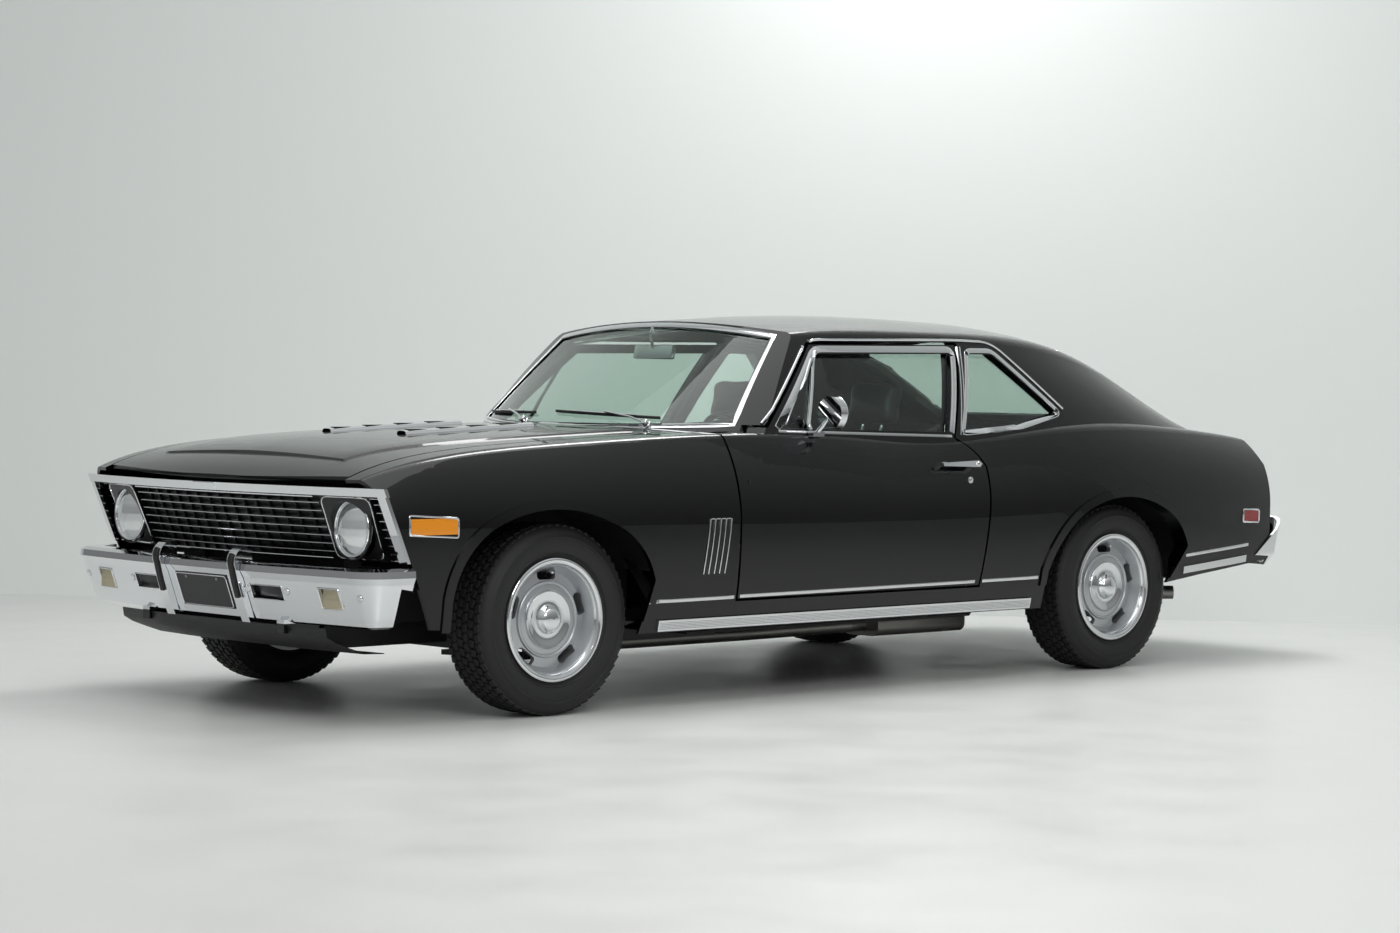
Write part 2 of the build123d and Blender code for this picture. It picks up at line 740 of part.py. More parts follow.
def package_shelf():
    skin = (SIDE_WALL & block((-FILLER_HALF, FILLER_HALF), (3380, SHELF_REAR_Y), (850, 1200)))
    skin = skin - backlight_prism(800, 1500)
    shelf = block((-FILLER_HALF, FILLER_HALF), (2930, SHELF_REAR_Y - 20), (868, 880))
    web = block((-FILLER_HALF, FILLER_HALF), (SHELF_REAR_Y - 32, SHELF_REAR_Y - 20), (868, 940))
    return with_knuckles(largest(skin + shelf + web), DECK_HINGE, 0, SHELF_REAR_Y - 14)


# Bumpers, swept along the car's ends. A section is (depth behind the face, height)
BUMPER_END_HALF = 886.0
BUMPER_FLAT = 330.0
RAIL_X = 398.0
RAIL_HALF = 34.0
RAIL_FRONT_Y = -640.0
SIGNAL_X = (612.0, 706.0)
SIGNAL_Z = (380.0, 444.0)
FRONT_BUMPER_FACE = 846.0
FRONT_BUMPER_SECTION = [
    (84, 318), (62, 326), (52, 350), (13, 462), (0, 484), (2, 506), (20, 515), (84, 515),
    (84, 506), (24, 503), (24, 466), (62, 354), (84, 330),
]
REAR_BUMPER_SECTION = [
    (78, 372), (60, 372), (22, 420), (0, 560), (8, 574), (40, 574), (40, 566), (12, 564),
    (32, 424), (66, 382), (78, 382),
]


def swept(points, radii, rows):
    """Bar of one section along a path round the car's end, driven anticlockwise from above."""
    path = FilletPolyline(*[(x, y, 0) for x, y in points], radius=radii)
    start = path @ 0
    way = path % 0
    inward = Vector(-way.Y, way.X, 0)
    if inward.dot(Vector(0, 1500, 0) - start) < 0:
        inward = inward * -1
    plane = Plane(origin=start, x_dir=inward, z_dir=inward.cross(Vector(0, 0, 1)))
    corners = [plane.from_local_coords(Vector(depth, z)) for depth, z in rows]
    profile = Face(Wire(Edge.make_line(a, b) for a, b in zip(corners, corners[1:] + corners[:1])))
    return sweep(profile, path=path)


def front_bumper():
    half = BUMPER_END_HALF
    bar = swept(
        [(-half - 4, -612), (-half + 6, -786), (-BUMPER_FLAT, -FRONT_BUMPER_FACE),
         (BUMPER_FLAT, -FRONT_BUMPER_FACE), (half - 6, -786), (half + 4, -612)],
        [100, 3000, 3000, 100],
        FRONT_BUMPER_SECTION,
    )
    bar = bar - block((-870, 870), (-655, -600), (300, 530))
    for side in (-1, 1):
        slot = block(sorted((side * 272, side * 432)), (-900, -740), (395, 440))
        lamp = block(
            sorted((side * (SIGNAL_X[0] - SEAT_GAP), side * (SIGNAL_X[1] + SEAT_GAP))),
            (-900, -700), (SIGNAL_Z[0] - SEAT_GAP, SIGNAL_Z[1] + SEAT_GAP),
        )
        bracket = block(
            sorted((side * (RAIL_X - 20), side * (RAIL_X + 20))), (-790, RAIL_FRONT_Y - SEAT_GAP),
            (286, 330),
        )
        bar = bar - slot - lamp + bracket
    return largest(bar)


PLATE_HALF = 150.0
GUARD_X = 222.0
GUARD_WIDTH = 46.0


def bumper_guards():
    """Two upright bars in front of the bumper, hooked over its top edge."""
    guards = []
    face = FRONT_BUMPER_FACE
    for side in (-1, 1):
        x = side * GUARD_X
        bar = side_prism(
            x - GUARD_WIDTH / 2, x + GUARD_WIDTH / 2,
            (-face + 50, 560), (-face + 22, 562), ((-face - 11, 540), (-face - 15, 490)),
            ((-face + 10, 400), (-face + 44, 312)), (-face + 61, 318), (-face + 51.6, 350),
            (-face + 12.6, 461.8), (-face - 0.5, 484), (-face + 1.5, 506.4), (-face + 20, 515.4),
            (-face + 50, 515.4),
        )
        guards.append(largest(bar))
    lean = (-face + 13 - SEAT_GAP, 462), (-face + 52 - SEAT_GAP, 350)
    plate = side_prism(
        -PLATE_HALF, PLATE_HALF, *lean, (lean[1][0] - 3, lean[1][1]), (lean[0][0] - 3, lean[0][1])
    )
    return guards, plate


def rear_bumper():
    half = BUMPER_END_HALF + 4
    bar = swept(
        [(half + 4, 3650), (half - 8, 3856), (BUMPER_FLAT, TAIL_Y), (-BUMPER_FLAT, TAIL_Y),
         (-half + 8, 3856), (-half - 4, 3650)],
        [90, 3000, 3000, 90],
        REAR_BUMPER_SECTION,
    )
    body = body_loft(-3.0) & block((-1000, 1000), (3550, 3900), (300, 700)) & tail_space(-4)
    above_ends = side_prism(
        -1000, 1000, (3500, 360), (3632, 385), (3872, 577), (3872, 640), (3500, 640)
    )
    bar = bar - body - above_ends
    for side in (-1, 1):
        bracket = block(sorted((side * 300, side * 350)), (3760, TAIL_Y - 24), (440, 470))
        bar = bar + (bracket - tail_space(-SEAT_GAP))
    return largest(bar)


def grille():
    """Grille: uprights and lamp bezels on a backing plate, and level bars across their fronts."""
    y = FACE_TOP_Y + 28
    plate = bowed(y + 22, 6, GRILLE_HALF, GRILLE_BOTTOM, GRILLE_TOP)
    field = bowed(y + 12, 11, GRILLE_HALF, GRILLE_BOTTOM, GRILLE_TOP)
    inner = LAMP_X - BEZEL_HALF
    gap = 2 * inner / (GRILLE_UPRIGHTS + 1)
    for i in range(1, GRILLE_UPRIGHTS + 1):
        x = -inner + i * gap
        plate = plate + (field & block((x - 1.6, x + 1.6), (-900, -500), (500, 760)))
    for x in OUTER_UPRIGHTS:
        for side in (-1, 1):
            plate = plate + (field & block(
                sorted((side * x - 1.6, side * x + 1.6)), (-900, -500), (500, 760)
            ))
    for side in (-1, 1):
        x = side * LAMP_X
        bezel = bowed(y - 6, 34, GRILLE_HALF, GRILLE_BOTTOM, GRILLE_TOP) & front_prism(
            -900, -500,
            (x - side * BEZEL_HALF, GRILLE_BOTTOM), (x + side * BEZEL_HALF * 0.82, GRILLE_BOTTOM),
            (x + side * BEZEL_HALF, GRILLE_TOP), (x - side * BEZEL_HALF * 0.86, GRILLE_TOP),
        )
        hole = rod((x, -900, LAMP_Z), (x, -500, LAMP_Z), LAMP_RADIUS + SEAT_GAP)
        plate = (plate + bezel) - hole
    pieces = [largest(plate)]
    pitch = (GRILLE_TOP - GRILLE_BOTTOM) / (GRILLE_BARS + 1)
    for i in range(1, GRILLE_BARS + 1):
        z = GRILLE_BOTTOM + i * pitch
        bar = bowed(y, 12 - SEAT_GAP, GRILLE_HALF, z - 2.2, z + 2.2)
        pieces.append(largest(bar & block((-inner, inner), (-900, -500), (500, 760))))
        for side in (-1, 1):
            end = block(sorted((side * (LAMP_X + BEZEL_HALF), side * 900)), (-900, -500), (500, 760))
            pieces.append(largest(bar & end))
    return pieces


def headlamps():
    """Sealed-beam lamps, a domed front on a tapering back, one each side."""
    lamps = []
    for side in (-1, 1):
        back = rod((side * LAMP_X, -676, LAMP_Z), (side * LAMP_X, -690, LAMP_Z), LAMP_RADIUS)
        ball = (LAMP_RADIUS**2 + LAMP_DOME**2) / (2 * LAMP_DOME)
        dome = Pos(side * LAMP_X, -690 - LAMP_DOME + ball, LAMP_Z) * Sphere(ball)
        dome = dome & rod(
            (side * LAMP_X, -690, LAMP_Z), (side * LAMP_X, -690 - LAMP_DOME, LAMP_Z), LAMP_RADIUS
        )
        lamp = back + dome
        lamps.append(largest(lamp))
    return lamps


def grille_surround():
    """Chrome header bar over the grille with a slanting arm down each side."""
    frame = bowed(FRAME_Y, ARM_DEPTH, BOW_HALF, GRILLE_TOP, GRILLE_TOP + HEADER_HEIGHT)
    frame = frame + bowed(FRAME_Y + 6, HEADER_DEPTH - 6, HOOD_HALF, GRILLE_TOP, GRILLE_TOP + 20)
    frame = frame + bowed(FRAME_Y - 5, 8, 62, GRILLE_TOP + 4, GRILLE_TOP + HEADER_HEIGHT - 3)
    for side in (-1, 1):
        arm = bowed(FRAME_Y, ARM_DEPTH, BOW_HALF - 6, GRILLE_BOTTOM, GRILLE_TOP + 1) & block(
            sorted((side * (GRILLE_HALF + 1), side * 900)), (-900, -500), (500, 760)
        )
        frame = frame + arm
    return largest(frame)


def turn_signals():
    lamps = []
    for side in (-1, 1):
        lamp = block(sorted((side * SIGNAL_X[0], side * SIGNAL_X[1])), (-776, -734), SIGNAL_Z)
        lamps.append(largest(lamp))
    return lamps


def side_lamps(y, z, slant, length, height):
    """Marker lamps let into the body's sides."""
    lamps = []
    for side in (-1, 1):
        box = side_prism(
            400, 1000, (y - length / 2, z - height / 2), (y + length / 2, z - height / 2 + slant),
            (y + length / 2, z + height / 2 + slant), (y - length / 2, z + height / 2),
        )
        lamp = largest(side_sheet(4, 0) & box)
        lamps.append(lamp if side > 0 else mirrored(lamp))
    return lamps


def tail_lamps():
    lamps = []
    for side in (-1, 1):
        lens = (TAIL_SPACE - tail_space(26)) & block(
            sorted((side * (TAIL_LAMP_X[0] + SEAT_GAP), side * (TAIL_LAMP_X[1] - SEAT_GAP))),
            (3700, 3900), TAIL_LAMP_Z
        )
        lamps.append(largest(lens))
    return lamps


# Wheels, modelled about their own axle with X outwards
def wheel_shape():
    """Steel wheel: rim barrel, dished disc with slots, trim ring and centre cap."""
    half = RIM_WIDTH / 2
    face = half - DISH_DEPTH
    profile = [
        (half + 9, RIM_FLANGE), (half + 9, RIM_FLANGE - 16), (half - 6, 176), (face + 10, 160),
        (face + 20, 100), (face + 6, HUB_RADIUS), (face + 12, CAP_RADIUS),
        (face + CAP_HEIGHT, CAP_RADIUS - 5), (face + CAP_HEIGHT + 5, 0), (face - 10, 0),
        (face - 10, HUB_RADIUS), (face + 8, 98), (face - 8, 156), (-half, 172),
        (-half, RIM_FLANGE), (-half + 8, RIM_RADIUS - 2), (half - 8, RIM_RADIUS - 2),
        (half, RIM_FLANGE),
    ]
    wire = Wire(Edge.make_line((a[0], a[1], 0), (b[0], b[1], 0))
                for a, b in zip(profile, profile[1:] + profile[:1]))
    solid = revolve(Face(wire), Axis.X)
    for i in range(SPOKE_SLOTS):
        window = Box(80, SLOT_LENGTH, SLOT_WIDTH)
        window = fillet(window.edges().filter_by(Axis.X), SLOT_CORNER)
        solid = solid - Rot(i * 360 / SPOKE_SLOTS, 0, 0) * Pos(face, 0, SLOT_RADIUS) * window
    return largest(solid)


def tyre_shape():
    """Tyre of few faces: flat tread, shoulders and walls, seated on the rim's flanges."""
    half = TYRE_WIDTH / 2
    tread = TREAD_WIDTH / 2
    bead = RIM_WIDTH / 2
    profile = [
        (tread, TYRE_RADIUS), (half - 8, TYRE_RADIUS - 26), (half, TYRE_RADIUS - 62),
        (bead + 12, RIM_FLANGE + 4), (bead - 1, RIM_FLANGE + 0.5), (bead - 9, RIM_RADIUS - 1.5),
    ]
    full = profile + [(-x, r) for x, r in reversed(profile)]
    wire = Wire(Edge.make_line((a[0], a[1], 0), (b[0], b[1], 0))
                for a, b in zip(full, full[1:] + full[:1]))
    return largest(revolve(Face(wire), Axis.X))


# Steering: the kingpin leans in at its top
KINGPIN_X = 685.0
KINGPIN_LEAN = 8.75
KNUCKLE_TOP = 128.0
KNUCKLE_LOW = -118.0
BALL_RADIUS = 19.0
HUB_FACE = 24.0
AXLE_STUB = 26.0
DRUM_RADIUS = 108.0


def kingpin_point(along):
    """Point on the left kingpin, measured along it from the hub's height."""
    lean = math.radians(KINGPIN_LEAN)
    return (KINGPIN_X - along * math.sin(lean), 0.0, TYRE_RADIUS + along * math.cos(lean))


WHEEL_BACK = TRACK / 2 + RIM_WIDTH / 2 - DISH_DEPTH - 10.0


def knuckle():
    """Left knuckle: upright between the ball joints, drum and stub out to the wheel."""
    body = rod(kingpin_point(KNUCKLE_LOW), kingpin_point(KNUCKLE_TOP), BALL_RADIUS)
    hub_z = TYRE_RADIUS
    body = body + rod((KINGPIN_X - 8, 0, hub_z), (WHEEL_BACK - SEAT_GAP, 0, hub_z), AXLE_STUB)
    body = body + rod((690, 0, hub_z), (728, 0, hub_z), DRUM_RADIUS)
    arm = rod((KINGPIN_X, 10, hub_z - 62), (KINGPIN_X - 34, 118, hub_z - 62), 12)
    return largest(body + arm)


def front_subframe():
    """Rails, crossmember and the control arms that carry the knuckles."""
    frame = block((-430, 430), (-58, 62), (196, 262))
    for side in (-1, 1):
        x = side * RAIL_X
        frame = frame + block((x - RAIL_HALF, x + RAIL_HALF), (RAIL_FRONT_Y, 300), (228, 304))
        rear = side_prism(
            x - RAIL_HALF, x + RAIL_HALF, (290, 228), (290, 304), (560, 236), (1100, 236),
            (1100, 190), (560, 190),
        )
        tower = block(sorted((side * 372, side * 446)), (-52, 52), (250, 470))
        frame = frame + rear + tower
        low = kingpin_point(KNUCKLE_LOW - SEAT_GAP)
        lower_end = kingpin_point(KNUCKLE_LOW - SEAT_GAP - 24)
        high = kingpin_point(KNUCKLE_TOP + SEAT_GAP)
        upper_end = kingpin_point(KNUCKLE_TOP + SEAT_GAP + 22)
        ball = rod(low, lower_end, BALL_RADIUS) + rod(high, upper_end, BALL_RADIUS)
        arm_z = (low[2] + lower_end[2]) / 2
        lower = plan_prism(
            arm_z - 10, arm_z + 8, (400, -130), (lower_end[0], -16), (lower_end[0], 16), (400, 60)
        )
        top_z = (high[2] + upper_end[2]) / 2
        upper = plan_prism(
            top_z - 8, top_z + 8, (420, -50), (upper_end[0], -15), (upper_end[0], 15), (420, 50)
        )
        arms = ball + lower + upper
        frame = frame + (arms if side > 0 else mirrored(arms))
    frame = frame + block((-430, 430), (RAIL_FRONT_Y, RAIL_FRONT_Y + 40), (232, 300))
    frame = frame + block((-430, 430), (820, 900), (200, 236))
    for side in (-1, 1):
        frame = frame + block(sorted((side * 60, side * 140)), (-40, 40), (250, 300 - SEAT_GAP))
    return largest(frame)


def inner_fenders():
    """Wheel houses inside the front fenders, and the panel round the radiator."""
    houses = []
    wall = block((462, 470), (-590, 640 - SEAT_GAP), (306, 820)) - (
        Pos(466, 0, TYRE_RADIUS) * Rot(0, 90, 0) * Cylinder(172, 40)
    )
    lid = side_prism(
        470, 880, (-520, 500), (-420, 640), ((-30, 742), (360, 640)), (480, 470), (480, 462),
        (352, 632), ((-30, 733), (-414, 633)), (-512, 494),
    )
    house = largest(wall + (lid & body_loft(SKIN + 1)))
    houses = [house, mirrored(house)]
    core = block((-462 + SEAT_GAP, 462 - SEAT_GAP), (-590, -575), (306, 800)) - block(
        (-340, 340), (-620, -500), (330, 770)
    )
    radiator = block((-350, 350), (-575 + SEAT_GAP, -524), (320, 780))
    return houses + [largest(core), radiator]


def hinge_arms():
    arms = []
    for z in DOOR_HINGE_HEIGHTS:
        low, high = z - HINGE_HEIGHT / 2, z + HINGE_HEIGHT / 2
        arms.append(hinge_barrel(low, high))
        arms.append(plan_prism(
            low, high, (DOOR_HINGE_X - 4, DOOR_AXIS_Y + 7), (DOOR_HINGE_X - 64, DOOR_AXIS_Y - 12),
            (DOOR_HINGE_X - 64, FENDER_REAR_Y - 20), (DOOR_HINGE_X - 90, FENDER_REAR_Y - 20),
            (DOOR_HINGE_X - 90, DOOR_AXIS_Y + 6), (DOOR_HINGE_X - 40, DOOR_AXIS_Y + 6),
        ))
    return arms


COWL_FRONT_Y = HOOD_REAR_Y + LID_HINGE_GAP
FIREWALL_Y = 652.0
FLOOR_Z = 236.0
FLOOR_SHEET = 8.0
TUNNEL_HALF = 150.0
TUNNEL_TOP = 430.0
TRUNK_Z = 400.0


def cowl():
    """Firewall, the panel ahead of the windshield and the pillars that the doors hang on."""
    top = sheet(0, HOOD_THICKNESS) & block(
        (-HOOD_HALF, HOOD_HALF), (COWL_FRONT_Y, 1100), (880, 1000)
    )
    top = top - behind_windshield(-4)
    ledge = (behind_windshield(-4) - behind_windshield(WINDSHIELD_RIM)) & front_prism(
        600, 1080, (-744, 860), (744, 860), (744, 935.6), (-744, 935.6)
    )
    wall = block((-690, 690), (640, FIREWALL_Y), (236, 900))
    wall = wall + block((-690, 690), (640, 800), (852, 864))
    wall = wall - block((-TUNNEL_HALF + 8, TUNNEL_HALF - 8), (600, 700), (200, TUNNEL_TOP - 8))
    body = top + ledge + wall
    for side in (-1, 1):
        pillar = block((690, 868), (700, FENDER_REAR_Y - 2), (SILL_BOTTOM + 20, 880)) & (
            body_loft(SKIN + 2)
        )
        pillar = pillar + block((690, 744), (FENDER_REAR_Y - 30, 960), (820, 880))
        pillar = pillar + block(
            (676, 700), (640, FENDER_REAR_Y - 2), (FLOOR_Z + FLOOR_SHEET + SEAT_GAP, 900)
        )
        pillar = largest(pillar)
        for arm in hinge_arms():
            pillar = pillar + arm
        body = body + (pillar if side > 0 else mirrored(pillar))
    return with_knuckles(largest(body), HOOD_HINGE, 0, COWL_FRONT_Y + 14)


def floor_pan():
    """Cabin and trunk floor in one, with the gearbox tunnel and the rear seat step."""
    def profile(z):
        return [
            (FIREWALL_Y, FLOOR_Z + z), (2080, FLOOR_Z + z), (2240, 420 + z), (2560, 420 + z),
            (2640, 520 + z), (3060, 520 + z), (3160, TRUNK_Z + z), (3768, TRUNK_Z + z),
        ]
    top = profile(FLOOR_SHEET)
    sheet = side_prism(-776, 776, *profile(0), *reversed(top))
    for side in (-1, 1):
        sheet = sheet - block(sorted((side * 556, side * 800)), (2355, 3285), (300, 760))
    tunnel = block((-TUNNEL_HALF, TUNNEL_HALF), (FIREWALL_Y, 2236), (FLOOR_Z, TUNNEL_TOP))
    cut = block((-TUNNEL_HALF + 8, TUNNEL_HALF - 8), (600, 2226), (200, TUNNEL_TOP - 8))
    body = (sheet + tunnel) - cut - block((-100, 100), (2200, 2260), (200, 392))
    outer = side_prism(
        552, 780, (2350, 330), (2350, 420), (2378, 560), ((2840, 742), (3234, 560)), (3290, 420),
        (3290, 330),
    )
    inner = side_prism(
        560, 800, (2358, 300), (2358, 421), (2386, 558), ((2840, 733), (3226, 558)), (3282, 419),
        (3282, 300),
    )
    house = outer - inner - block((540, 570), (2680, 2960), (300, 440))
    body = body + house + mirrored(house)
    return largest(body)


def engine():
    """One plain block of the engine with its gearbox."""
    block_part = side_prism(
        -270, 270, (-330, 420), (-330, 800), (-200, 838), (330, 838), (380, 700), (380, 420),
        (200, 300), (-250, 300),
    )
    block_part = block_part & front_prism(
        -400, 500, (-270, 560), (-150, 290), (150, 290), (270, 560), (270, 760), (190, 840),
        (-190, 840), (-270, 760),
    )
    gearbox = side_prism(-110, 110, (370, 300), (370, 414), (620, 414), (1150, 380), (1150, 250),
                         (620, 232), (400, 262))
    return largest(block_part + gearbox)


PIPE_RADIUS = 27.0
PIPE_RUN = [
    (180, 700, 160), (180, 1500, 160), (330, 1880, 182), (330, 2480, 200), (420, 2690, 425),
    (420, 2930, 425), (432, 3190, 262), (640, 3430, 262),
]


def exhaust():
    """Two pipes with mufflers, each hung from the crossmember, ending behind the rear wheel."""
    pipes = []
    for side in (1, -1):
        path = Polyline(*[(side * x, y, z) for x, y, z in PIPE_RUN])
        pipe = sweep(
            Plane(origin=path @ 0, z_dir=path % 0) * Circle(PIPE_RADIUS), path=path,
            transition=Transition.RIGHT,
        )
        muffler = block((side * 330 - 95, side * 330 + 95), (1950, 2430), (140, 226))
        muffler = fillet(muffler.edges().filter_by(Axis.Y), 34)
        hanger = block((side * 180 - 14, side * 180 + 14), (848, 872), (170, 200 - SEAT_GAP))
        pipes.append(largest(pipe + muffler + hanger))
    return pipes


AXLE_TUBE = 40.0


def rear_axle():
    """Axle tube, differential, brake drums, leaf springs and propeller shaft."""
    body = rod((-690, WHEELBASE, TYRE_RADIUS), (690, WHEELBASE, TYRE_RADIUS), AXLE_TUBE)
    body = body + rod((0, WHEELBASE - 110, TYRE_RADIUS), (0, WHEELBASE + 90, TYRE_RADIUS), 118)
    for side in (-1, 1):
        body = body + rod((side * 676, WHEELBASE, TYRE_RADIUS),
                          (side * (WHEEL_BACK - 16), WHEELBASE, TYRE_RADIUS), 124)
        body = body + rod((side * (WHEEL_BACK - 17), WHEELBASE, TYRE_RADIUS),
                          (side * (WHEEL_BACK - SEAT_GAP), WHEELBASE, TYRE_RADIUS), AXLE_STUB)
        spring = side_prism(
            side * 505 - 30, side * 505 + 30, (2230, 330), ((2819, 262), (3500, 380)),
            (3500, TRUNK_Z - SEAT_GAP), ((2819, 296), (2230, 352)),
        )
        body = body + spring
    body = body + rod((0, 1160, 308), (0, WHEELBASE - 100, TYRE_RADIUS), 34)
    return largest(body)


def fuel_tank():
    tank = block((-390, 390), (3190, 3660), (232, TRUNK_Z - SEAT_GAP))
    return largest(fillet(tank.edges().filter_by(Axis.Y), 40))


DASH_FRONT_Y = 830.0
DASH_HALF = 676.0 - SEAT_GAP
WHEEL_HUB = (372.0, 1260.0, 820.0)
COLUMN_TILT = 22.0
STEER_RADIUS = 196.0
COLUMN_RADIUS = 28.0


def column_point(along):
    """Point on the steering column's line, measured forward from the steering wheel."""
    tilt = math.radians(COLUMN_TILT)
    return (
        WHEEL_HUB[0],
        WHEEL_HUB[1] - along * math.cos(tilt),
        WHEEL_HUB[2] - along * math.sin(tilt),
    )


def dash():
    body = side_prism(
        -DASH_HALF, DASH_HALF, (DASH_FRONT_Y, 640), (DASH_FRONT_Y, 866), (FIREWALL_Y + SEAT_GAP, 866),
        (FIREWALL_Y + SEAT_GAP, 902), (880, 902), (1010, 880), ((1042, 860), (1050, 826)),
        (1010, 700), (960, 630),
    ) & behind_windshield(WINDSHIELD_RIM + SEAT_GAP)
    binnacle = side_prism(
        192, 552, (1000, 730), (1000, 896), ((1052, 896), (1078, 870)), (1062, 740)
    )
    glove = block((-560, -200), (1000, 1036), (700, 800))
    body = largest((body + binnacle) + glove)
    return body - rod(column_point(20), column_point(700), COLUMN_RADIUS + SEAT_GAP)


def steering_column():
    return rod(column_point(28 + SEAT_GAP), column_point(560), COLUMN_RADIUS)


def steering_wheel():
    hub = rod(column_point(-8), column_point(28), 40)
    plane = Plane(origin=column_point(0), z_dir=Vector(*column_point(0)) - Vector(*column_point(1)))
    rim = plane * Torus(STEER_RADIUS - 12, 12)
    body = hub + rim
    for angle in (0, 180):
        spoke = plane * Rot(0, 0, angle) * Pos(STEER_RADIUS / 2 - 8, 0, 0) * Box(
            STEER_RADIUS - 20, 34, 10
        )
        body = body + spoke
    return largest(body)


SEAT_X = 388.0


def bucket_seats():
    seats = []
    for side in (1, -1):
        x = side * SEAT_X
        cushion = side_prism(
            x - 230, x + 230, (1300, 300), (1290, 440), ((1330, 500), (1400, 504)), (1800, 452),
            (1800, 300),
        )
        back = side_prism(
            x - 222, x + 222, (1730, 430), (1800, 420), (1900, 452), (2010, 900),
            ((1985, 942), (1930, 920)), (1790, 560),
        )
        rest = side_prism(
            x - 120, x + 120, (1952, 928), (1990, 1090), ((1968, 1118), (1926, 1100)), (1904, 910)
        )
        base = block((x - 190, x + 190), (1340, 1740), (FLOOR_Z + FLOOR_SHEET, 302))
        seats.append(largest(cushion + back + rest + base))
    return seats


def rear_seat():
    """Bench in one: its underside follows the floor's step."""
    return side_prism(
        -540, 540, (2252, 428.3), (2190, 436), (2175, 520), ((2195, 560), (2262, 566)),
        (2610, 548), (2862, 858), ((2890, 876), (2925, 862)), (2925, 528.3), (2639.5, 528.3),
        (2559.5, 428.3),
    )


def rocker_mouldings():
    """Ribbed bright mouldings under the doors and behind the rear wheels."""
    bars = []
    for y_low, y_high, z_low, z_high, rise in ((425, 2300, 262, 300, 0), (3186, 3600, 360, 388, 32)):
        bar = largest(side_sheet(9, 0) & side_prism(
            500, 1000, (y_low, z_low), (y_high, z_low + rise), (y_high, z_high + rise),
            (y_low, z_high),
        ))
        bars += [bar, mirrored(bar)]
    return bars


def door_trim():
    """Bright handle, and the round mirror of the driver's door."""
    grip = side_prism(700, 1000, (1800, 806), (1800, 818), (1990, 824), (2004, 812), (1990, 800))
    grip = grip & side_sheet(34, -22)
    posts = side_sheet(23, 0) & (
        side_prism(700, 1000, (1806, 806), (1806, 820), (1832, 820), (1832, 806))
        + side_prism(700, 1000, (1962, 800), (1962, 820), (1996, 820), (1996, 800))
    )
    foot = block((812, 838), (1196, 1250), (918, 936)) - OUTER
    stem = rod((826, 1222, 930), (876, 1238, 985), 8)
    head = rod((884, 1230, 1002), (884, 1262, 1002), 60)
    return [largest(grip + posts), largest(foot + stem + head)]


def place(shape):
    return Pos(0, -(LENGTH / 2 - FRONT_OVERHANG), 0) * shape


def wheel_at(shape, side, y):
    turned = shape if side > 0 else mirror(shape, about=Plane.YZ)
    return Pos(side * TRACK / 2, y, TYRE_RADIUS) * turned


def build():
    left_fender, left_door, left_quarter = fender(), door(), quarter()
    glass_door = side_glass(window_outline())
    glass_quarter = side_glass(quarter_window())
    left_knuckle = knuckle()
    left_trim = door_trim()
    guards, plate = bumper_guards()
    front_bar = front_bumper()
    nodes = {
        "floor_pan": floor_pan(),
        "front_subframe": front_subframe(),
        "inner_fenders": inner_fenders(),
        "cowl": cowl(),
        "fender_left": left_fender,
        "fender_right": mirrored(left_fender),
        "quarter_left": left_quarter,
        "quarter_right": mirrored(left_quarter),
        "roof": roof(),
        "tail_panel": tail_panel(),
        "package_shelf": package_shelf(),
        "grille": grille(),
        "grille_surround": grille_surround(),
        "headlamps": headlamps(),
        "front_bumper": front_bar,
        "bumper_guards": guards,
        "front_plate": plate,
        "turn_signals": turn_signals(),
        "front_markers": side_lamps(-533, 645, 0, 178, 52),
        "rear_markers": side_lamps(3622, 578, 0, 110, 44),
        "tail_lamps": tail_lamps(),
        "rear_bumper": rear_bumper(),
        "body_glass": [windshield(), rear_window(), glass_quarter, mirrored(glass_quarter)],
        "dash": dash(),
        "steering_column": steering_column(),
        "bucket_seats": bucket_seats(),
        "rear_seat": rear_seat(),
        "rocker_mouldings": rocker_mouldings(),
        "engine": engine(),
        "exhaust": exhaust(),
        "rear_axle": rear_axle(),
        "fuel_tank": fuel_tank(),
        "door_left": left_door,
        "door_left_glass": glass_door,
        "door_left_trim": left_trim,
        "door_right": mirrored(left_door),
        "door_right_glass": mirrored(glass_door),
        "door_right_trim": mirrored(left_trim[0]),
        "hood": hood(),
        "deck_lid": deck_lid(),
        "steering_wheel": steering_wheel(),
        "knuckle_left": left_knuckle,
        "knuckle_right": mirrored(left_knuckle),
    }
    wheel, tyre = wheel_shape(), tyre_shape()
    for corner, side, y in (
        ("front_left", 1, 0), ("front_right", -1, 0),
        ("rear_left", 1, WHEELBASE), ("rear_right", -1, WHEELBASE),
    ):
        nodes["wheel_" + corner] = wheel_at(wheel, side, y)
        nodes["tyre_" + corner] = wheel_at(tyre, side, y)
    return nodes


os.makedirs("parts", exist_ok=True)
for name, shape in build().items():
    pieces = shape if isinstance(shape, list) else [shape]
    pieces = [place(piece) for piece in pieces]
    export_step(pieces[0] if len(pieces) == 1 else Compound(children=pieces), f"parts/{name}.step")
    box = Compound(children=pieces).bounding_box()
    print(name, len(pieces), box.min, box.max)
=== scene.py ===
# %% [markdown]
# # A two-door muscle car, finished in Blender around its CAD frame
# The sheet metal, glass, bumpers, seats and running gear come packed from CAD, already in place
# and already able to move. This lesson gives them their finishes and adds what a CAD model
# leaves out: bright mouldings, tyre tread, trim rings, wipers, lamp lenses, seams and ribs.

# %% Load the frame
import json
import math

import bmesh
import bpy
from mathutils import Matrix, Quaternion, Vector
from mathutils.bvhtree import BVHTree

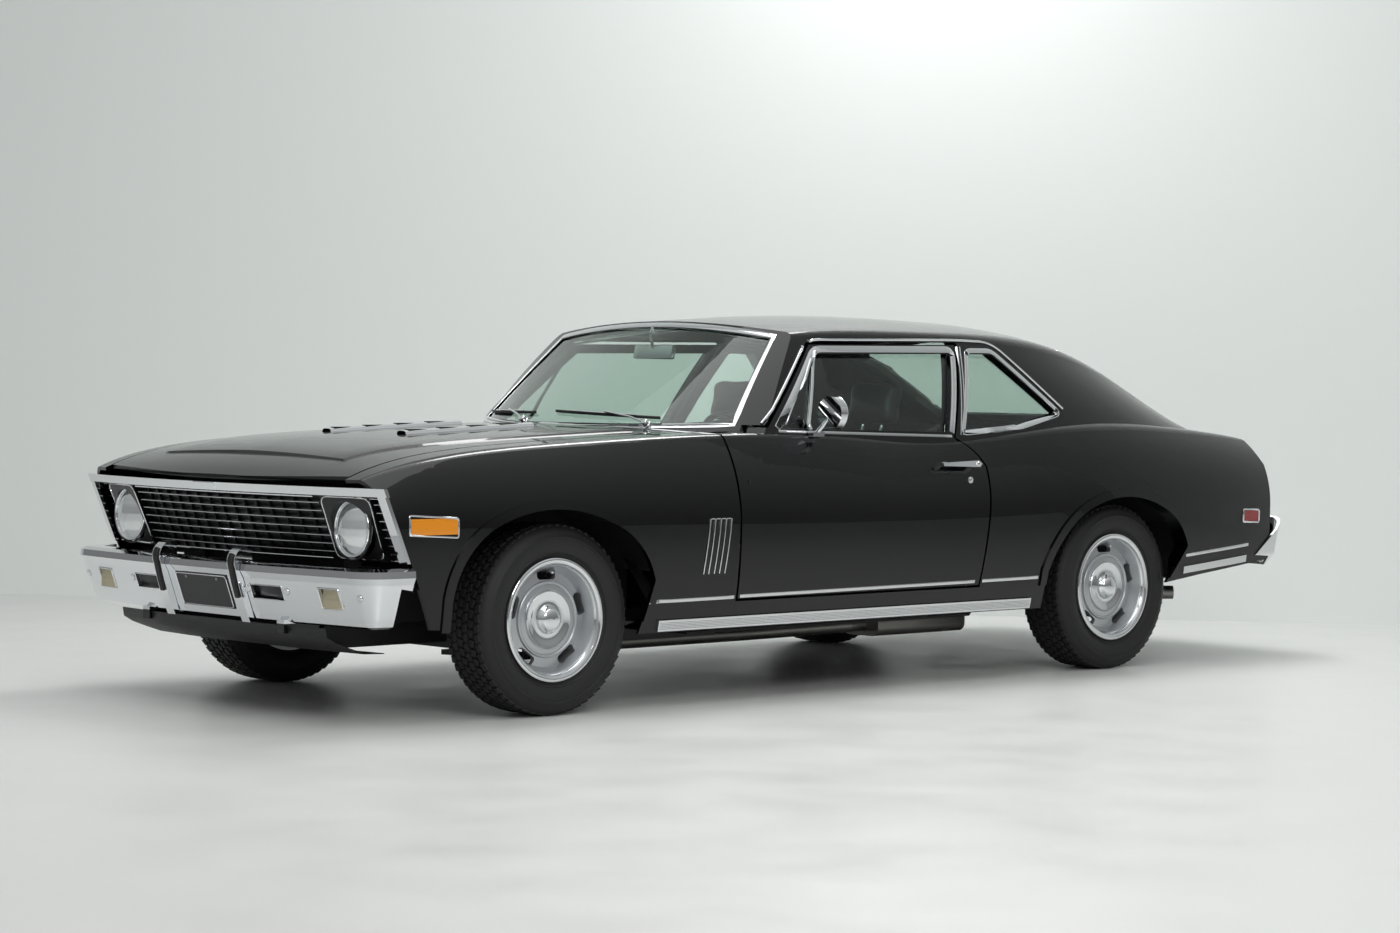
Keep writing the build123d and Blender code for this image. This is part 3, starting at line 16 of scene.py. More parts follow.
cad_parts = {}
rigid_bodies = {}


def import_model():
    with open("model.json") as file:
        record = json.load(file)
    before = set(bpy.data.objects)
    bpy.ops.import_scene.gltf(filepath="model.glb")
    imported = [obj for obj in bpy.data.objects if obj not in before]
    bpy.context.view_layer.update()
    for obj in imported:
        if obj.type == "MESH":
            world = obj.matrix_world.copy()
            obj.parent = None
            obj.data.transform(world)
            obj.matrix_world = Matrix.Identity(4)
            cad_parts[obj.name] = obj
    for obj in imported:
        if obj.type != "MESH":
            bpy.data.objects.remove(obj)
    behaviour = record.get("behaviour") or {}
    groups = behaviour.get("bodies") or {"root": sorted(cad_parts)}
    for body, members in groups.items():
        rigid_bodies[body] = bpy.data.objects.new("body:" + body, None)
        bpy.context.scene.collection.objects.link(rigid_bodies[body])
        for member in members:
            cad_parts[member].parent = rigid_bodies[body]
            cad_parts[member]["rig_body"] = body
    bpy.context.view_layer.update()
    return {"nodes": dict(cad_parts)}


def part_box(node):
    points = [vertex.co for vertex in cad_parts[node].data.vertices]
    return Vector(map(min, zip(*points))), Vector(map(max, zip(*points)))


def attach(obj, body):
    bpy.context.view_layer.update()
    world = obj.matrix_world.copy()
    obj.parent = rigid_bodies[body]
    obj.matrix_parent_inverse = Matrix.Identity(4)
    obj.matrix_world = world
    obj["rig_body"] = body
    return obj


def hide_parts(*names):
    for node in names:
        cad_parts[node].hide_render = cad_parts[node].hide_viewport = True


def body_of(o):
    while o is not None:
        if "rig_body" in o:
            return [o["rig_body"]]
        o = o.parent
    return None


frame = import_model()
nodes = frame["nodes"]

# %% [markdown]
# Lengths below are metres. The CAD model has its origin on the ground under the middle of the
# car, but the places of a car's parts are easier to think of from the front axle, so one value
# moves between the two.

# %% Where the front axle is
front_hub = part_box("wheel_front_left")
AXLE_Y = (front_hub[0].y + front_hub[1].y) / 2
rear_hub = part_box("wheel_rear_left")
REAR_AXLE_Y = (rear_hub[0].y + rear_hub[1].y) / 2
HUB_Z = (front_hub[0].z + front_hub[1].z) / 2
print("front axle", round(AXLE_Y, 4), "rear axle", round(REAR_AXLE_Y, 4), "hub", round(HUB_Z, 4))


def at(x, y, z):
    """A place given from the front axle, in the frame's own coordinates."""
    return Vector((x, AXLE_Y + y, z))


# %% [markdown]
# The camera stands where the photographer stood, in front of the car's left corner at about
# chest height, with a long lens. Its place was worked out from wheel centres, lamps and other
# pairs of points that a car has on both sides.

# %% Camera
VIEW_AZIMUTH = 0.833150
VIEW_DOWN = 0.030335
VIEW_ROLL = 0.007478
PHOTO_WIDTH = 1400.0
FOCAL_PIXELS = 3307.44
SENSOR = 36.0

bpy.ops.object.camera_add(location=at(9.27068, -7.01199, 1.16542))
camera = bpy.context.object
forward = Vector((
    -math.sin(VIEW_AZIMUTH) * math.cos(VIEW_DOWN),
    math.cos(VIEW_AZIMUTH) * math.cos(VIEW_DOWN),
    -math.sin(VIEW_DOWN),
))
camera.rotation_mode = "QUATERNION"
level = forward.to_track_quat("-Z", "Y")
camera.rotation_quaternion = level @ Quaternion((0, 0, 1), VIEW_ROLL)
camera.data.sensor_width = SENSOR
camera.data.lens = SENSOR * FOCAL_PIXELS / PHOTO_WIDTH
camera.data.clip_end = 200
bpy.context.scene.camera = camera
bpy.context.scene.view_settings.view_transform = "Standard"
print("lens", round(camera.data.lens, 2), "mm")

# %% [markdown]
# Colours are written as they look on a screen and turned to the linear values that shaders
# work in by one function. One more adds a shader node with its settings and its links.


# %% Colours and nodes
def linear(code):
    """Linear colour of a #rrggbb code."""
    parts = [int(code[i:i + 2], 16) / 255 for i in (1, 3, 5)]
    return tuple(c / 12.92 if c <= 0.04045 else ((c + 0.055) / 1.055) ** 2.4 for c in parts) + (1,)


def add(tree, kind, settings=None, feeds=(), **links):
    """A shader node with its settings, what feeds its first inputs, and links to named ones."""
    made = tree.nodes.new("ShaderNode" + kind)
    for name, value in (settings or {}).items():
        if name in made.inputs:
            made.inputs[name].default_value = value
        else:
            setattr(made, name, value)
    for socket, feed in zip(made.inputs, feeds):
        if isinstance(feed, bpy.types.NodeSocket):
            tree.links.new(feed, socket)
        else:
            socket.default_value = feed
    for name, feed in links.items():
        tree.links.new(feed, made.inputs[name.replace("_", " ")])
    return made


MILLIMETRE = 0.001


def finish(name, colour, size=None, depth=0.0, rough=None, **settings):
    """A material with one Principled shader, and fine unevenness if a size is given.

    A noise of that size in millimetres lifts the surface by a depth, and spreads its roughness.
    """
    made = bpy.data.materials.new(name)
    made.use_nodes = True
    tree = made.node_tree
    shader = tree.nodes["Principled BSDF"]
    shader.inputs["Base Color"].default_value = linear(colour)
    for key, value in settings.items():
        shader.inputs[key.replace("_", " ")].default_value = value
    if size:
        place = add(tree, "TexCoord").outputs["Object"]
        noise = add(tree, "TexNoise", {"Scale": 1 / (size * MILLIMETRE)}, Vector=place)
        lifted = add(tree, "Bump", {"Strength": 1.0, "Distance": depth * MILLIMETRE},
                     Height=noise.outputs["Fac"])
        tree.links.new(lifted.outputs["Normal"], shader.inputs["Normal"])
        if rough:
            dull = add(tree, "MapRange", {"To Min": rough[0], "To Max": rough[1]},
                       Value=noise.outputs["Fac"])
            tree.links.new(dull.outputs["Result"], shader.inputs["Roughness"])
    return made


def parts_of(material):
    """The material's node tree and its Principled shader's inputs."""
    return material.node_tree, material.node_tree.nodes["Principled BSDF"].inputs


# %% [markdown]
# ## Finishes
# Black enamel is a near-black base under a clear coat. It shows almost no colour of its own,
# so its look comes from what it mirrors: it needs a very smooth coat with a faint waviness.

# %% Black enamel and underbody paint
enamel = finish("gloss_black_enamel", "#020203", 9, 0.004, Roughness=0.3, Coat_Weight=0.75,
                Coat_Roughness=0.02, Specular_IOR_Level=0.08)
undercoat = finish("satin_undercoat", "#141414", 4, 0.12, (0.55, 0.85))
chassis_paint = finish("chassis_black", "#161617", 6, 0.06, (0.35, 0.6))

# %% [markdown]
# Chrome plate is a bright metal with hardly any roughness. Bright anodised aluminium, used
# for the thin mouldings, is a little softer and whiter. The bumper is plated only where it
# shows: its brackets, below the lower lip, are black, so its chrome is told by height.

# %% Chrome, bright aluminium, silver wheel paint and bare steel
PLATE = "#e4e6e8"
chrome = finish("chrome_plate", PLATE, 30, 0.01, (0.03, 0.08), Metallic=1.0)
BRACKET_TOP = 0.317
bumper_plate = finish("chrome_plate_on_bumper", PLATE, Metallic=1.0, Roughness=0.05)
tree, inputs = parts_of(bumper_plate)
place = add(tree, "TexCoord").outputs["Object"]
height = add(tree, "SeparateXYZ", feeds=(place,)).outputs["Z"]
plated = add(tree, "Math", {"operation": "GREATER_THAN"}, (height, BRACKET_TOP)).outputs["Value"]
cover = add(tree, "Mix", {"data_type": "RGBA"}, Factor=plated)
cover.inputs["A"].default_value = linear("#101011")
cover.inputs["B"].default_value = linear(PLATE)
tree.links.new(plated, inputs["Metallic"])
tree.links.new(cover.outputs["Result"], inputs["Base Color"])
aluminium = finish("bright_anodised_aluminium", "#d9dbdc", 2, 0.003, (0.12, 0.22), Metallic=1.0)
silver = finish("silver_wheel_paint", "#b9bcbf", 1.2, 0.004, (0.28, 0.38), Metallic=0.75,
                Coat_Weight=0.5, Coat_Roughness=0.08)
steel = finish("bare_steel", "#9a9894", 5, 0.02, (0.3, 0.55), Metallic=1.0)
iron = finish("painted_iron", "#3a3b3d", 3, 0.2, (0.45, 0.75))

# %% [markdown]
# The windows are a faintly green glass that lets most light through, and lamplight passes it
# unbent, so the cabin isn't noisy. The lamps have clear, amber and red glass or plastic. Lens
# ribs are cut into the back of moulded lenses, which a wave in the bump stands for. It is drawn
# coarser than real ribs are, so that it shows from the camera.

# %% Window glass
GLASS_TINT = "#dcebe4"
window_glass = finish("green_tinted_glass", GLASS_TINT, Roughness=0.0, IOR=1.45,
                      Transmission_Weight=1.0)
tree = window_glass.node_tree
solid_glass = tree.nodes["Principled BSDF"].outputs["BSDF"]
ray = add(tree, "LightPath").outputs
lamplight = add(tree, "Math", {"operation": "MAXIMUM"}, (ray["Is Shadow Ray"], ray["Is Diffuse Ray"]))
passing = add(tree, "BsdfTransparent", {"Color": linear(GLASS_TINT)}).outputs["BSDF"]
shown = add(tree, "MixShader", feeds=(lamplight.outputs["Value"], solid_glass, passing))
tree.links.new(shown.outputs["Shader"], tree.nodes["Material Output"].inputs["Surface"])

# %% Lamp lenses
WAVE_BANDS = 0.1
RIB_DEPTH = 0.5


def lens(name, colour, transmission, rib, metallic=0.0):
    """Moulded lens: coloured, glossy, with ribs of a width in millimetres."""
    made = finish(name, colour, Roughness=0.12, IOR=1.49, Transmission_Weight=transmission,
                  Coat_Weight=0.6, Coat_Roughness=0.03, Metallic=metallic)
    tree, inputs = parts_of(made)
    place = add(tree, "TexCoord").outputs["Object"]
    wave = add(tree, "TexWave", {"Scale": WAVE_BANDS / (rib * MILLIMETRE), "bands_direction": "Z"},
               Vector=place)
    ribs = add(tree, "Bump", {"Strength": 0.6, "Distance": RIB_DEPTH * MILLIMETRE},
               Height=wave.outputs["Fac"])
    tree.links.new(ribs.outputs["Normal"], inputs["Normal"])
    return made


amber_lens = lens("amber_lens", "#f2961c", 0.1, 6)
red_lens = lens("red_lens", "#a01218", 0.2, 6)
clear_lens = lens("clear_signal_lens", "#d9cfae", 0.3, 6)
lamp_glass = lens("fluted_lamp_glass", "#eef1f2", 0.0, 9, metallic=0.7)

# %% [markdown]
# Tyre rubber is dark grey rather than black, rough on the tread and a little smoother on the
# wall. Interior vinyl is matt and grained. Parts that stay in shadow get plain moulded black.

# %% Rubber, vinyl and plastics
rubber = finish("tyre_rubber", "#191919", 3, 0.05, (0.5, 0.75))
vinyl = finish("black_seat_vinyl", "#1b1b1c", 2.5, 0.12, (0.35, 0.5))
dash_plastic = finish("grained_dash_plastic", "#171718", 3, 0.1, (0.4, 0.6))
black_trim = finish("satin_black_trim", "#0e0e0f", 4, 0.03, (0.28, 0.45))
rubber_strip = finish("black_guard_rubber", "#101010", 2, 0.05, (0.45, 0.65))
blank_plate = finish("blank_plate_paint", "#232326", 5, 0.03, (0.35, 0.5))

# %% Give the CAD pieces their finishes
FINISHES = {
    enamel: ["cowl", "fender_left", "fender_right", "quarter_left", "quarter_right", "roof",
             "tail_panel", "package_shelf", "door_left", "door_right", "hood", "deck_lid"],
    undercoat: ["floor_pan", "inner_fenders"],
    chassis_paint: ["front_subframe", "rear_axle"],
    chrome: ["grille_surround", "bumper_guards", "rear_bumper", "door_left_trim",
             "door_right_trim"],
    bumper_plate: ["front_bumper"],
    aluminium: ["rocker_mouldings"],
    black_trim: ["grille", "steering_wheel"],
    lamp_glass: ["headlamps"],
    clear_lens: ["turn_signals"],
    amber_lens: ["front_markers"],
    red_lens: ["rear_markers", "tail_lamps"],
    window_glass: ["body_glass", "door_left_glass", "door_right_glass"],
    dash_plastic: ["dash", "steering_column"],
    vinyl: ["bucket_seats", "rear_seat"],
    iron: ["engine", "knuckle_left", "knuckle_right"],
    steel: ["exhaust", "fuel_tank"],
    blank_plate: ["front_plate"],
    silver: ["wheel_front_left", "wheel_front_right", "wheel_rear_left", "wheel_rear_right"],
    rubber: ["tyre_front_left", "tyre_front_right", "tyre_rear_left", "tyre_rear_right"],
}
for material, names in FINISHES.items():
    for name in names:
        for place in nodes[name].material_slots:
            place.material = material
print(sum(len(names) for names in FINISHES.values()), "CAD pieces finished")

# %% [markdown]
# ## Tools
# A few helpers do by script what a modeller does by hand: clear the selection before adding
# something, find a point on a panel by looking at it, and lay a bead or a flat ribbon along
# points on the bodywork. Looking means casting a ray, as the snap tool does.


# %% Looking at the bodywork
def tree_of(names):
    """What a ray can hit: the meshes of some CAD pieces together."""
    verts, faces = [], []
    for name in names:
        mesh = nodes[name].data
        first = len(verts)
        verts += [vertex.co.copy() for vertex in mesh.vertices]
        faces += [[first + i for i in face.vertices] for face in mesh.polygons]
    return BVHTree.FromPolygons(verts, faces)


LEFT_SIDE = tree_of(["fender_left", "door_left", "quarter_left", "roof", "body_glass"])
SIDE, FRONT, ABOVE, BEHIND = "side", "front", "above", "behind"


def look(tree, view, a, b, lift=0.0):
    """Point of the bodywork at (y, z) from the left, (x, z) from ahead or (x, y) from above."""
    start, way = {
        SIDE: (at(2, a, b), Vector((-1, 0, 0))),
        FRONT: (at(a, -2, b), Vector((0, 1, 0))),
        ABOVE: (at(a, b, 3), Vector((0, 0, -1))),
        BEHIND: (at(a, 5, b), Vector((0, -1, 0))),
    }[view]
    hit, normal, _, _ = tree.ray_cast(start, way)
    if hit is None:
        hit, normal, _, _ = tree.find_nearest(start + way * 2.0)
        print(f"nothing seen from {view} at {a:.3f}, {b:.3f}; nearest is used")
    if normal.dot(way) > 0:
        normal = -normal
    return hit + normal * lift


# %% Drawing flat paths
def spread(a, b, count):
    """Evenly spread values from a to b, both ends included."""
    return [a + (b - a) * i / (count - 1) for i in range(count)]


def between(a, b, count):
    """Evenly spread points on a line, both ends included."""
    return list(zip(*(spread(p, q, count) for p, q in zip(a, b))))


def arc(a, b, rise, count):
    """Points of a shallow curve from a to b whose middle stands a rise higher."""
    points = between(a, b, count)
    return [(x, z + rise * (1 - (2 * i / (count - 1) - 1) ** 2)) for i, (x, z) in enumerate(points)]


def rounded(corners, radius, closed=False, steps=5):
    """The corners joined by straight runs, each corner rounded off."""
    path = []
    count = len(corners)
    for i, corner in enumerate(corners):
        if not closed and i in (0, count - 1):
            path.append(tuple(corner))
            continue
        here = Vector(corner)
        to_last = Vector(corners[i - 1]) - here
        to_next = Vector(corners[(i + 1) % count]) - here
        reach = min(radius, to_last.length * 0.45, to_next.length * 0.45)
        first = here + to_last.normalized() * reach
        last = here + to_next.normalized() * reach
        for j in range(steps + 1):
            t = j / steps
            path.append(tuple(first * (1 - t) ** 2 + here * 2 * t * (1 - t) + last * t * t))
    return path


def dense(path, spacing, closed=False):
    """The path again with points added so that none are further apart than the spacing."""
    ends = path[1:] + ([path[0]] if closed else [])
    full = []
    for a, b in zip(path, ends):
        count = max(1, math.ceil((Vector(b) - Vector(a)).length / spacing))
        full += between(a, b, count + 1)[:-1]
    return full if closed else full + [tuple(path[-1])]


def edges_of(path, width, closed=False):
    """The two edges of a ribbon of a width whose middle is the path."""
    left, right = [], []
    count = len(path)
    for i in range(count):
        before = path[i - 1] if closed or i else path[i]
        after = path[(i + 1) % count] if closed or i < count - 1 else path[i]
        along = (Vector(after) - Vector(before)).normalized()
        across = Vector((-along.y, along.x)) * width / 2
        left.append(tuple(Vector(path[i]) + across))
        right.append(tuple(Vector(path[i]) - across))
    return left, right


# %% Adding and finishing pieces
def deselect():
    if bpy.context.mode != "OBJECT":
        bpy.ops.object.mode_set(mode="OBJECT")
    bpy.ops.object.select_all(action="DESELECT")


def pick(*pieces):
    """Selects these pieces alone, the last of them active."""
    deselect()
    for piece in pieces:
        piece.select_set(True)
    bpy.context.view_layer.objects.active = pieces[-1]


def bevelled(piece, width, segments=2):
    """Rounds the piece's edges, as tooling would."""
    edge = piece.modifiers.new("edge", "BEVEL")
    edge.width = width
    edge.segments = segments
    edge.limit_method = "ANGLE"


def apply_all(piece):
    """Makes the piece's modifiers and its place part of its mesh."""
    pick(piece)
    for modifier in list(piece.modifiers):
        bpy.ops.object.modifier_apply(modifier=modifier.name)
    bpy.ops.object.transform_apply(location=True, rotation=True, scale=True)


def settle(name, material, body, smooth=35.0):
    """Names the active piece, shades it, gives it its material and lets it ride on a body."""
    piece = bpy.context.object
    apply_all(piece)
    bpy.ops.object.shade_smooth_by_angle(angle=math.radians(smooth))
    piece.name = name
    piece.data.name = name
    piece.data.materials.clear()
    piece.data.materials.append(material)
    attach(piece, body)
    return piece


def outwards():
    """Points every face of the active piece outwards."""
    bpy.ops.object.mode_set(mode="EDIT")
    bpy.ops.mesh.select_all(action="SELECT")
    bpy.ops.mesh.normals_make_consistent(inside=False)
    bpy.ops.object.mode_set(mode="OBJECT")


def other_side(piece, name, body):
    """A mirrored copy of a finished piece, for the car's right side."""
    pick(piece)
    bpy.ops.object.duplicate()
    twin = bpy.context.object
    twin.parent = None
    twin.matrix_world.identity()
    twin.scale = (-1, 1, 1)
    bpy.ops.object.transform_apply(location=True, rotation=True, scale=True)
    outwards()
    twin.name = name
    twin.data.name = name
    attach(twin, body)
    return twin


def both_sides(piece):
    """Adds the right-hand twin of a piece whose name ends in _left."""
    body = body_of(piece)[0].replace("left", "right")
    return other_side(piece, piece.name.replace("_left", "_right"), body)


def merged(pieces):
    """Joins new pieces into one mesh, which rides on nothing until it is settled."""
    for piece in pieces:
        piece.parent = None
    pick(*pieces)
    if len(pieces) > 1:
        bpy.ops.object.join()
    return bpy.context.object


# %% Beads, ribbons and blocks
def bead(name, points, radius, material, body, closed=False):
    """Round bar bent along points in space."""
    deselect()
    bpy.ops.curve.primitive_bezier_curve_add(location=(0, 0, 0))
    curve = bpy.context.object
    curve.data.splines.clear()
    spline = curve.data.splines.new("POLY")
    spline.points.add(len(points) - 1)
    for place, point in zip(spline.points, points):
        place.co = (*point, 1)
    spline.use_cyclic_u = closed
    curve.data.bevel_depth = radius
    curve.data.bevel_resolution = 2
    curve.data.use_fill_caps = not closed
    bpy.ops.object.convert(target="MESH")
    return settle(name, material, body)


def skin(rows, thickness, closed=False):
    """A sheet through rows of points, given a stamping's thickness."""
    deselect()
    across, along = len(rows), len(rows[0])
    bpy.ops.mesh.primitive_grid_add(x_subdivisions=along - 1, y_subdivisions=across - 1, size=1)
    piece = bpy.context.object
    grid = sorted(piece.data.vertices, key=lambda v: (round(v.co.y, 5), v.co.x))
    for i, row in enumerate(rows):
        for j, point in enumerate(row):
            grid[i * along + j].co = point
    if closed:
        bpy.ops.object.mode_set(mode="EDIT")
        bpy.ops.mesh.select_all(action="SELECT")
        bpy.ops.mesh.remove_doubles(threshold=0.00002)
        bpy.ops.object.mode_set(mode="OBJECT")
    solid = piece.modifiers.new("thickness", "SOLIDIFY")
    solid.thickness = thickness
    solid.offset = 0
    return piece


def ribbon(name, path, width, material, body, tree=None, view=SIDE, closed=False, thickness=0.003,
           lift=0.0005, radius=0.0, spacing=0.05):
    """Flat moulding laid on the bodywork along a path drawn in one of the views."""
    path = rounded(path, radius, closed) if radius else path
    path = dense(path, spacing, closed)
    rows = [[look(tree or LEFT_SIDE, view, *point, lift) for point in edge]
            for edge in edges_of(path, width, closed)]
    if closed:
        rows = [row + [row[0].copy()] for row in rows]
    piece = skin(rows, thickness, closed)
    bevelled(piece, min(thickness, width) * 0.3)
    return settle(name, material, body)


def bar(size, place, turn=(0, 0, 0), edge=0.001, narrow=1.0, top=2):
    """A bevelled block, its face on one axis drawn in; a start for small fittings."""
    deselect()
    bpy.ops.mesh.primitive_cube_add(size=1, location=(0, 0, 0))
    piece = bpy.context.object
    for vertex in piece.data.vertices:
        if narrow != 1.0 and vertex.co[top] > 0:
            for axis in range(3):
                if axis != top:
                    vertex.co[axis] *= narrow
    piece.scale = size
    bpy.ops.object.transform_apply(scale=True)
    bevelled(piece, edge)
    piece.rotation_euler = turn
    piece.location = place
    return piece


def disc(radius, depth, place, turn=(0, 0, 0), edge=0.001, sides=24, narrow=1.0):
    """A short round bar with softened rims; its axis is Z before it is turned."""
    deselect()
    bpy.ops.mesh.primitive_cone_add(
        vertices=sides, radius1=radius, radius2=radius * narrow, depth=depth
    )
    piece = bpy.context.object
    bevelled(piece, edge)
    piece.rotation_euler = turn
    piece.location = place
    return piece


FACING_AHEAD = (math.pi / 2, 0, 0)


def hoop(radius, thickness, place, turn=FACING_AHEAD, around=64, across=8):
    """A round wire bent to a ring."""
    deselect()
    bpy.ops.mesh.primitive_torus_add(
        major_radius=radius, minor_radius=thickness, major_segments=around,
        minor_segments=across, location=place, rotation=turn,
    )
    return bpy.context.object


def finished(pieces, name, material, body, smooth=35.0):
    """Applies the modifiers of some fittings, joins them and settles the whole."""
    for piece in pieces:
        apply_all(piece)
    merged(pieces)
    return settle(name, material, body, smooth)


# %% [markdown]
# ## Studio
# The car stands on a pale, slightly glossy floor in front of a pale wall. The line where they
# meet is found by looking through two pixels of the photograph down to the floor. The wall
# glows a little for whoever sees or mirrors it. From behind it can be seen through, and the
# floor goes on beyond it, so that the car can be looked at from all sides.

# %% Floor and wall
WALL_LINE_LEFT = (50.0, 595.0)
WALL_LINE_RIGHT = (1390.0, 625.0)
PHOTO_HEIGHT = 933.0


def floor_point(pixel):
    """Where the camera's ray through a pixel of the photograph meets the floor."""
    across = (pixel[0] - PHOTO_WIDTH / 2) / FOCAL_PIXELS
    up = -(pixel[1] - PHOTO_HEIGHT / 2) / FOCAL_PIXELS
    ray = camera.rotation_quaternion @ Vector((across, up, -1))
    return camera.location + ray * (-camera.location.z / ray.z)


floor_paint = finish("pale_floor_paint", "#d6d7d5", 400, 0.2, (0.25, 0.5))
WALL_COLOUR, WALL_GLOW = "#d5d9d7", 0.16
wall_paint = finish("pale_wall_paint", WALL_COLOUR, 30, 0.1, Roughness=0.9)
tree, inputs = parts_of(wall_paint)
ray = add(tree, "LightPath").outputs
seen = add(tree, "Math", {"operation": "MAXIMUM"}, (ray["Is Camera Ray"], ray["Is Transmission Ray"]))
mirrored = add(tree, "Math", {"operation": "MAXIMUM"}, (seen.outputs["Value"], ray["Is Glossy Ray"]))
glow = add(tree, "Math", {"operation": "MULTIPLY"}, (mirrored.outputs["Value"], WALL_GLOW))
inputs["Emission Color"].default_value = linear(WALL_COLOUR)
tree.links.new(glow.outputs["Value"], inputs["Emission Strength"])
painted = tree.nodes["Principled BSDF"].outputs["BSDF"]
nothing = add(tree, "BsdfTransparent").outputs["BSDF"]
from_behind = add(tree, "NewGeometry").outputs["Backfacing"]
one_way = add(tree, "MixShader", feeds=(from_behind, painted, nothing))
tree.links.new(one_way.outputs["Shader"], tree.nodes["Material Output"].inputs["Surface"])

left_foot, right_foot = floor_point(WALL_LINE_LEFT), floor_point(WALL_LINE_RIGHT)
along = (right_foot - left_foot).normalized()
ahead = Vector((along.y, -along.x, 0))
if ahead.dot(camera.location - left_foot) < 0:
    ahead = -ahead
WALL_REACH = 14.0
ROOM_DEPTH = 26.0
BEYOND_WALL = 16.0
WALL_HEIGHT = 9.0
middle = (left_foot + right_foot) / 2
deselect()
bpy.ops.mesh.primitive_plane_add(size=1)
floor = bpy.context.object
wall_ends = [middle - along * WALL_REACH, middle + along * WALL_REACH]
corners = [end - ahead * BEYOND_WALL for end in wall_ends]
corners += [end + ahead * ROOM_DEPTH for end in wall_ends]
for vertex, corner in zip(floor.data.vertices, corners):
    vertex.co = (corner.x, corner.y, 0)
floor.name = "floor"
floor.data.materials.append(floor_paint)
deselect()
bpy.ops.mesh.primitive_plane_add(size=1)
wall = bpy.context.object
up = Vector((0, 0, WALL_HEIGHT))
for vertex, corner in zip(wall.data.vertices, wall_ends + [end + up for end in wall_ends]):
    vertex.co = (corner.x, corner.y, max(corner.z, 0.0))
wall.name = "wall"
wall.data.materials.append(wall_paint)
if wall.data.polygons[0].normal.dot(ahead) < 0:
    wall.data.flip_normals()
print("wall foot", tuple(round(v, 2) for v in left_foot), tuple(round(v, 2) for v in right_foot))

# %% [markdown]
# Soft light comes from two panels overhead, one beside the camera and the room all round, which
# is darker at the horizon. Black enamel shows every lamp as a shape, so they are large and few.

# %% Light
HORIZON, ZENITH = 0.22, 0.75
FULL_LIGHT_FROM = 0.75
world = bpy.data.worlds.new("studio")
world.use_nodes = True
backdrop = world.node_tree.nodes["Background"]
backdrop.inputs["Color"].default_value = linear("#e9ebeb")
tree = world.node_tree
sky = add(tree, "SeparateXYZ", feeds=(add(tree, "TexCoord").outputs["Generated"],))
bright = add(tree, "MapRange",
             {"From Min": 0.0, "From Max": FULL_LIGHT_FROM, "To Min": HORIZON, "To Max": ZENITH},
             Value=sky.outputs["Z"])
tree.links.new(bright.outputs["Result"], backdrop.inputs["Strength"])
bpy.context.scene.world = world


def panel(name, place, target, width, height, power):
    """Soft rectangular lamp aimed at a point."""
    deselect()
    bpy.ops.object.light_add(type="AREA", location=place)
    lamp = bpy.context.object
    lamp.name = name
    lamp.data.shape = "RECTANGLE"
    lamp.data.size = width
    lamp.data.size_y = height
    lamp.data.energy = power
    lamp.rotation_mode = "QUATERNION"
    lamp.rotation_quaternion = (Vector(target) - Vector(place)).to_track_quat("-Z", "Y")
    return lamp


panel("overhead_strip", (-0.5, 1.3, 4.6), (0.3, 0.2, 0), 0.9, 3.2, 110)
panel("overhead_soft", (1.0, -1.0, 5.6), (0.5, -0.4, 0), 5.0, 6.5, 140)
panel("front_left", (6.5, -4.0, 4.2), (0, 0, 0.6), 3.0, 2.0, 125)

# %% [markdown]
# ## Tyres
# The CAD tyres are plain rings. A road tyre has a rounded shoulder, a ribbed wall and rows of
# blocks with grooves between them. The ring is spun from a drawn section. One block of each row
# is modelled once and an array turns it round the tyre, so the tread has depth that a bump
# can't give.

# %% Spinning a section
WHEEL_FROM, WHEEL_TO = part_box("tyre_front_left")
TYRE_RADIUS = HUB_Z
TYRE_HALF = (WHEEL_TO.x - WHEEL_FROM.x) / 2
WHEEL_X = (WHEEL_TO.x + WHEEL_FROM.x) / 2
CORNERS = {
    "front_left": (1, 0.0), "front_right": (-1, 0.0),
    "rear_left": (1, REAR_AXLE_Y - AXLE_Y), "rear_right": (-1, REAR_AXLE_Y - AXLE_Y),
}
SPIN_STEPS = 72


def spun(profile, material, steps=SPIN_STEPS, closed=True):
    """A ring turned round the X axis from points (across, radius)."""
    deselect()
    bpy.ops.mesh.primitive_circle_add(vertices=len(profile), radius=1)
    piece = bpy.context.object
    for vertex, (across, radius) in zip(piece.data.vertices, profile):
        vertex.co = (across, 0, radius)
    bpy.ops.object.mode_set(mode="EDIT")
    if not closed:
        edit = bmesh.from_edit_mesh(piece.data)
        edit.verts.ensure_lookup_table()
        ends = {edit.verts[0], edit.verts[-1]}
        bpy.ops.mesh.select_mode(type="EDGE")
        bpy.ops.mesh.select_all(action="DESELECT")
        for edge in edit.edges:
            edge.select = set(edge.verts) == ends
        bmesh.update_edit_mesh(piece.data)
        bpy.ops.mesh.delete(type="EDGE")
    bpy.ops.mesh.select_mode(type="VERT")
    bpy.ops.mesh.select_all(action="SELECT")
    bpy.ops.mesh.spin(steps=steps, angle=2 * math.pi, center=(0, 0, 0), axis=(1, 0, 0))
    bpy.ops.mesh.select_all(action="SELECT")
    bpy.ops.mesh.remove_doubles(threshold=0.00002)
    bpy.ops.mesh.normals_make_consistent(inside=False)
    bpy.ops.object.mode_set(mode="OBJECT")
    piece.data.materials.append(material)
    return piece


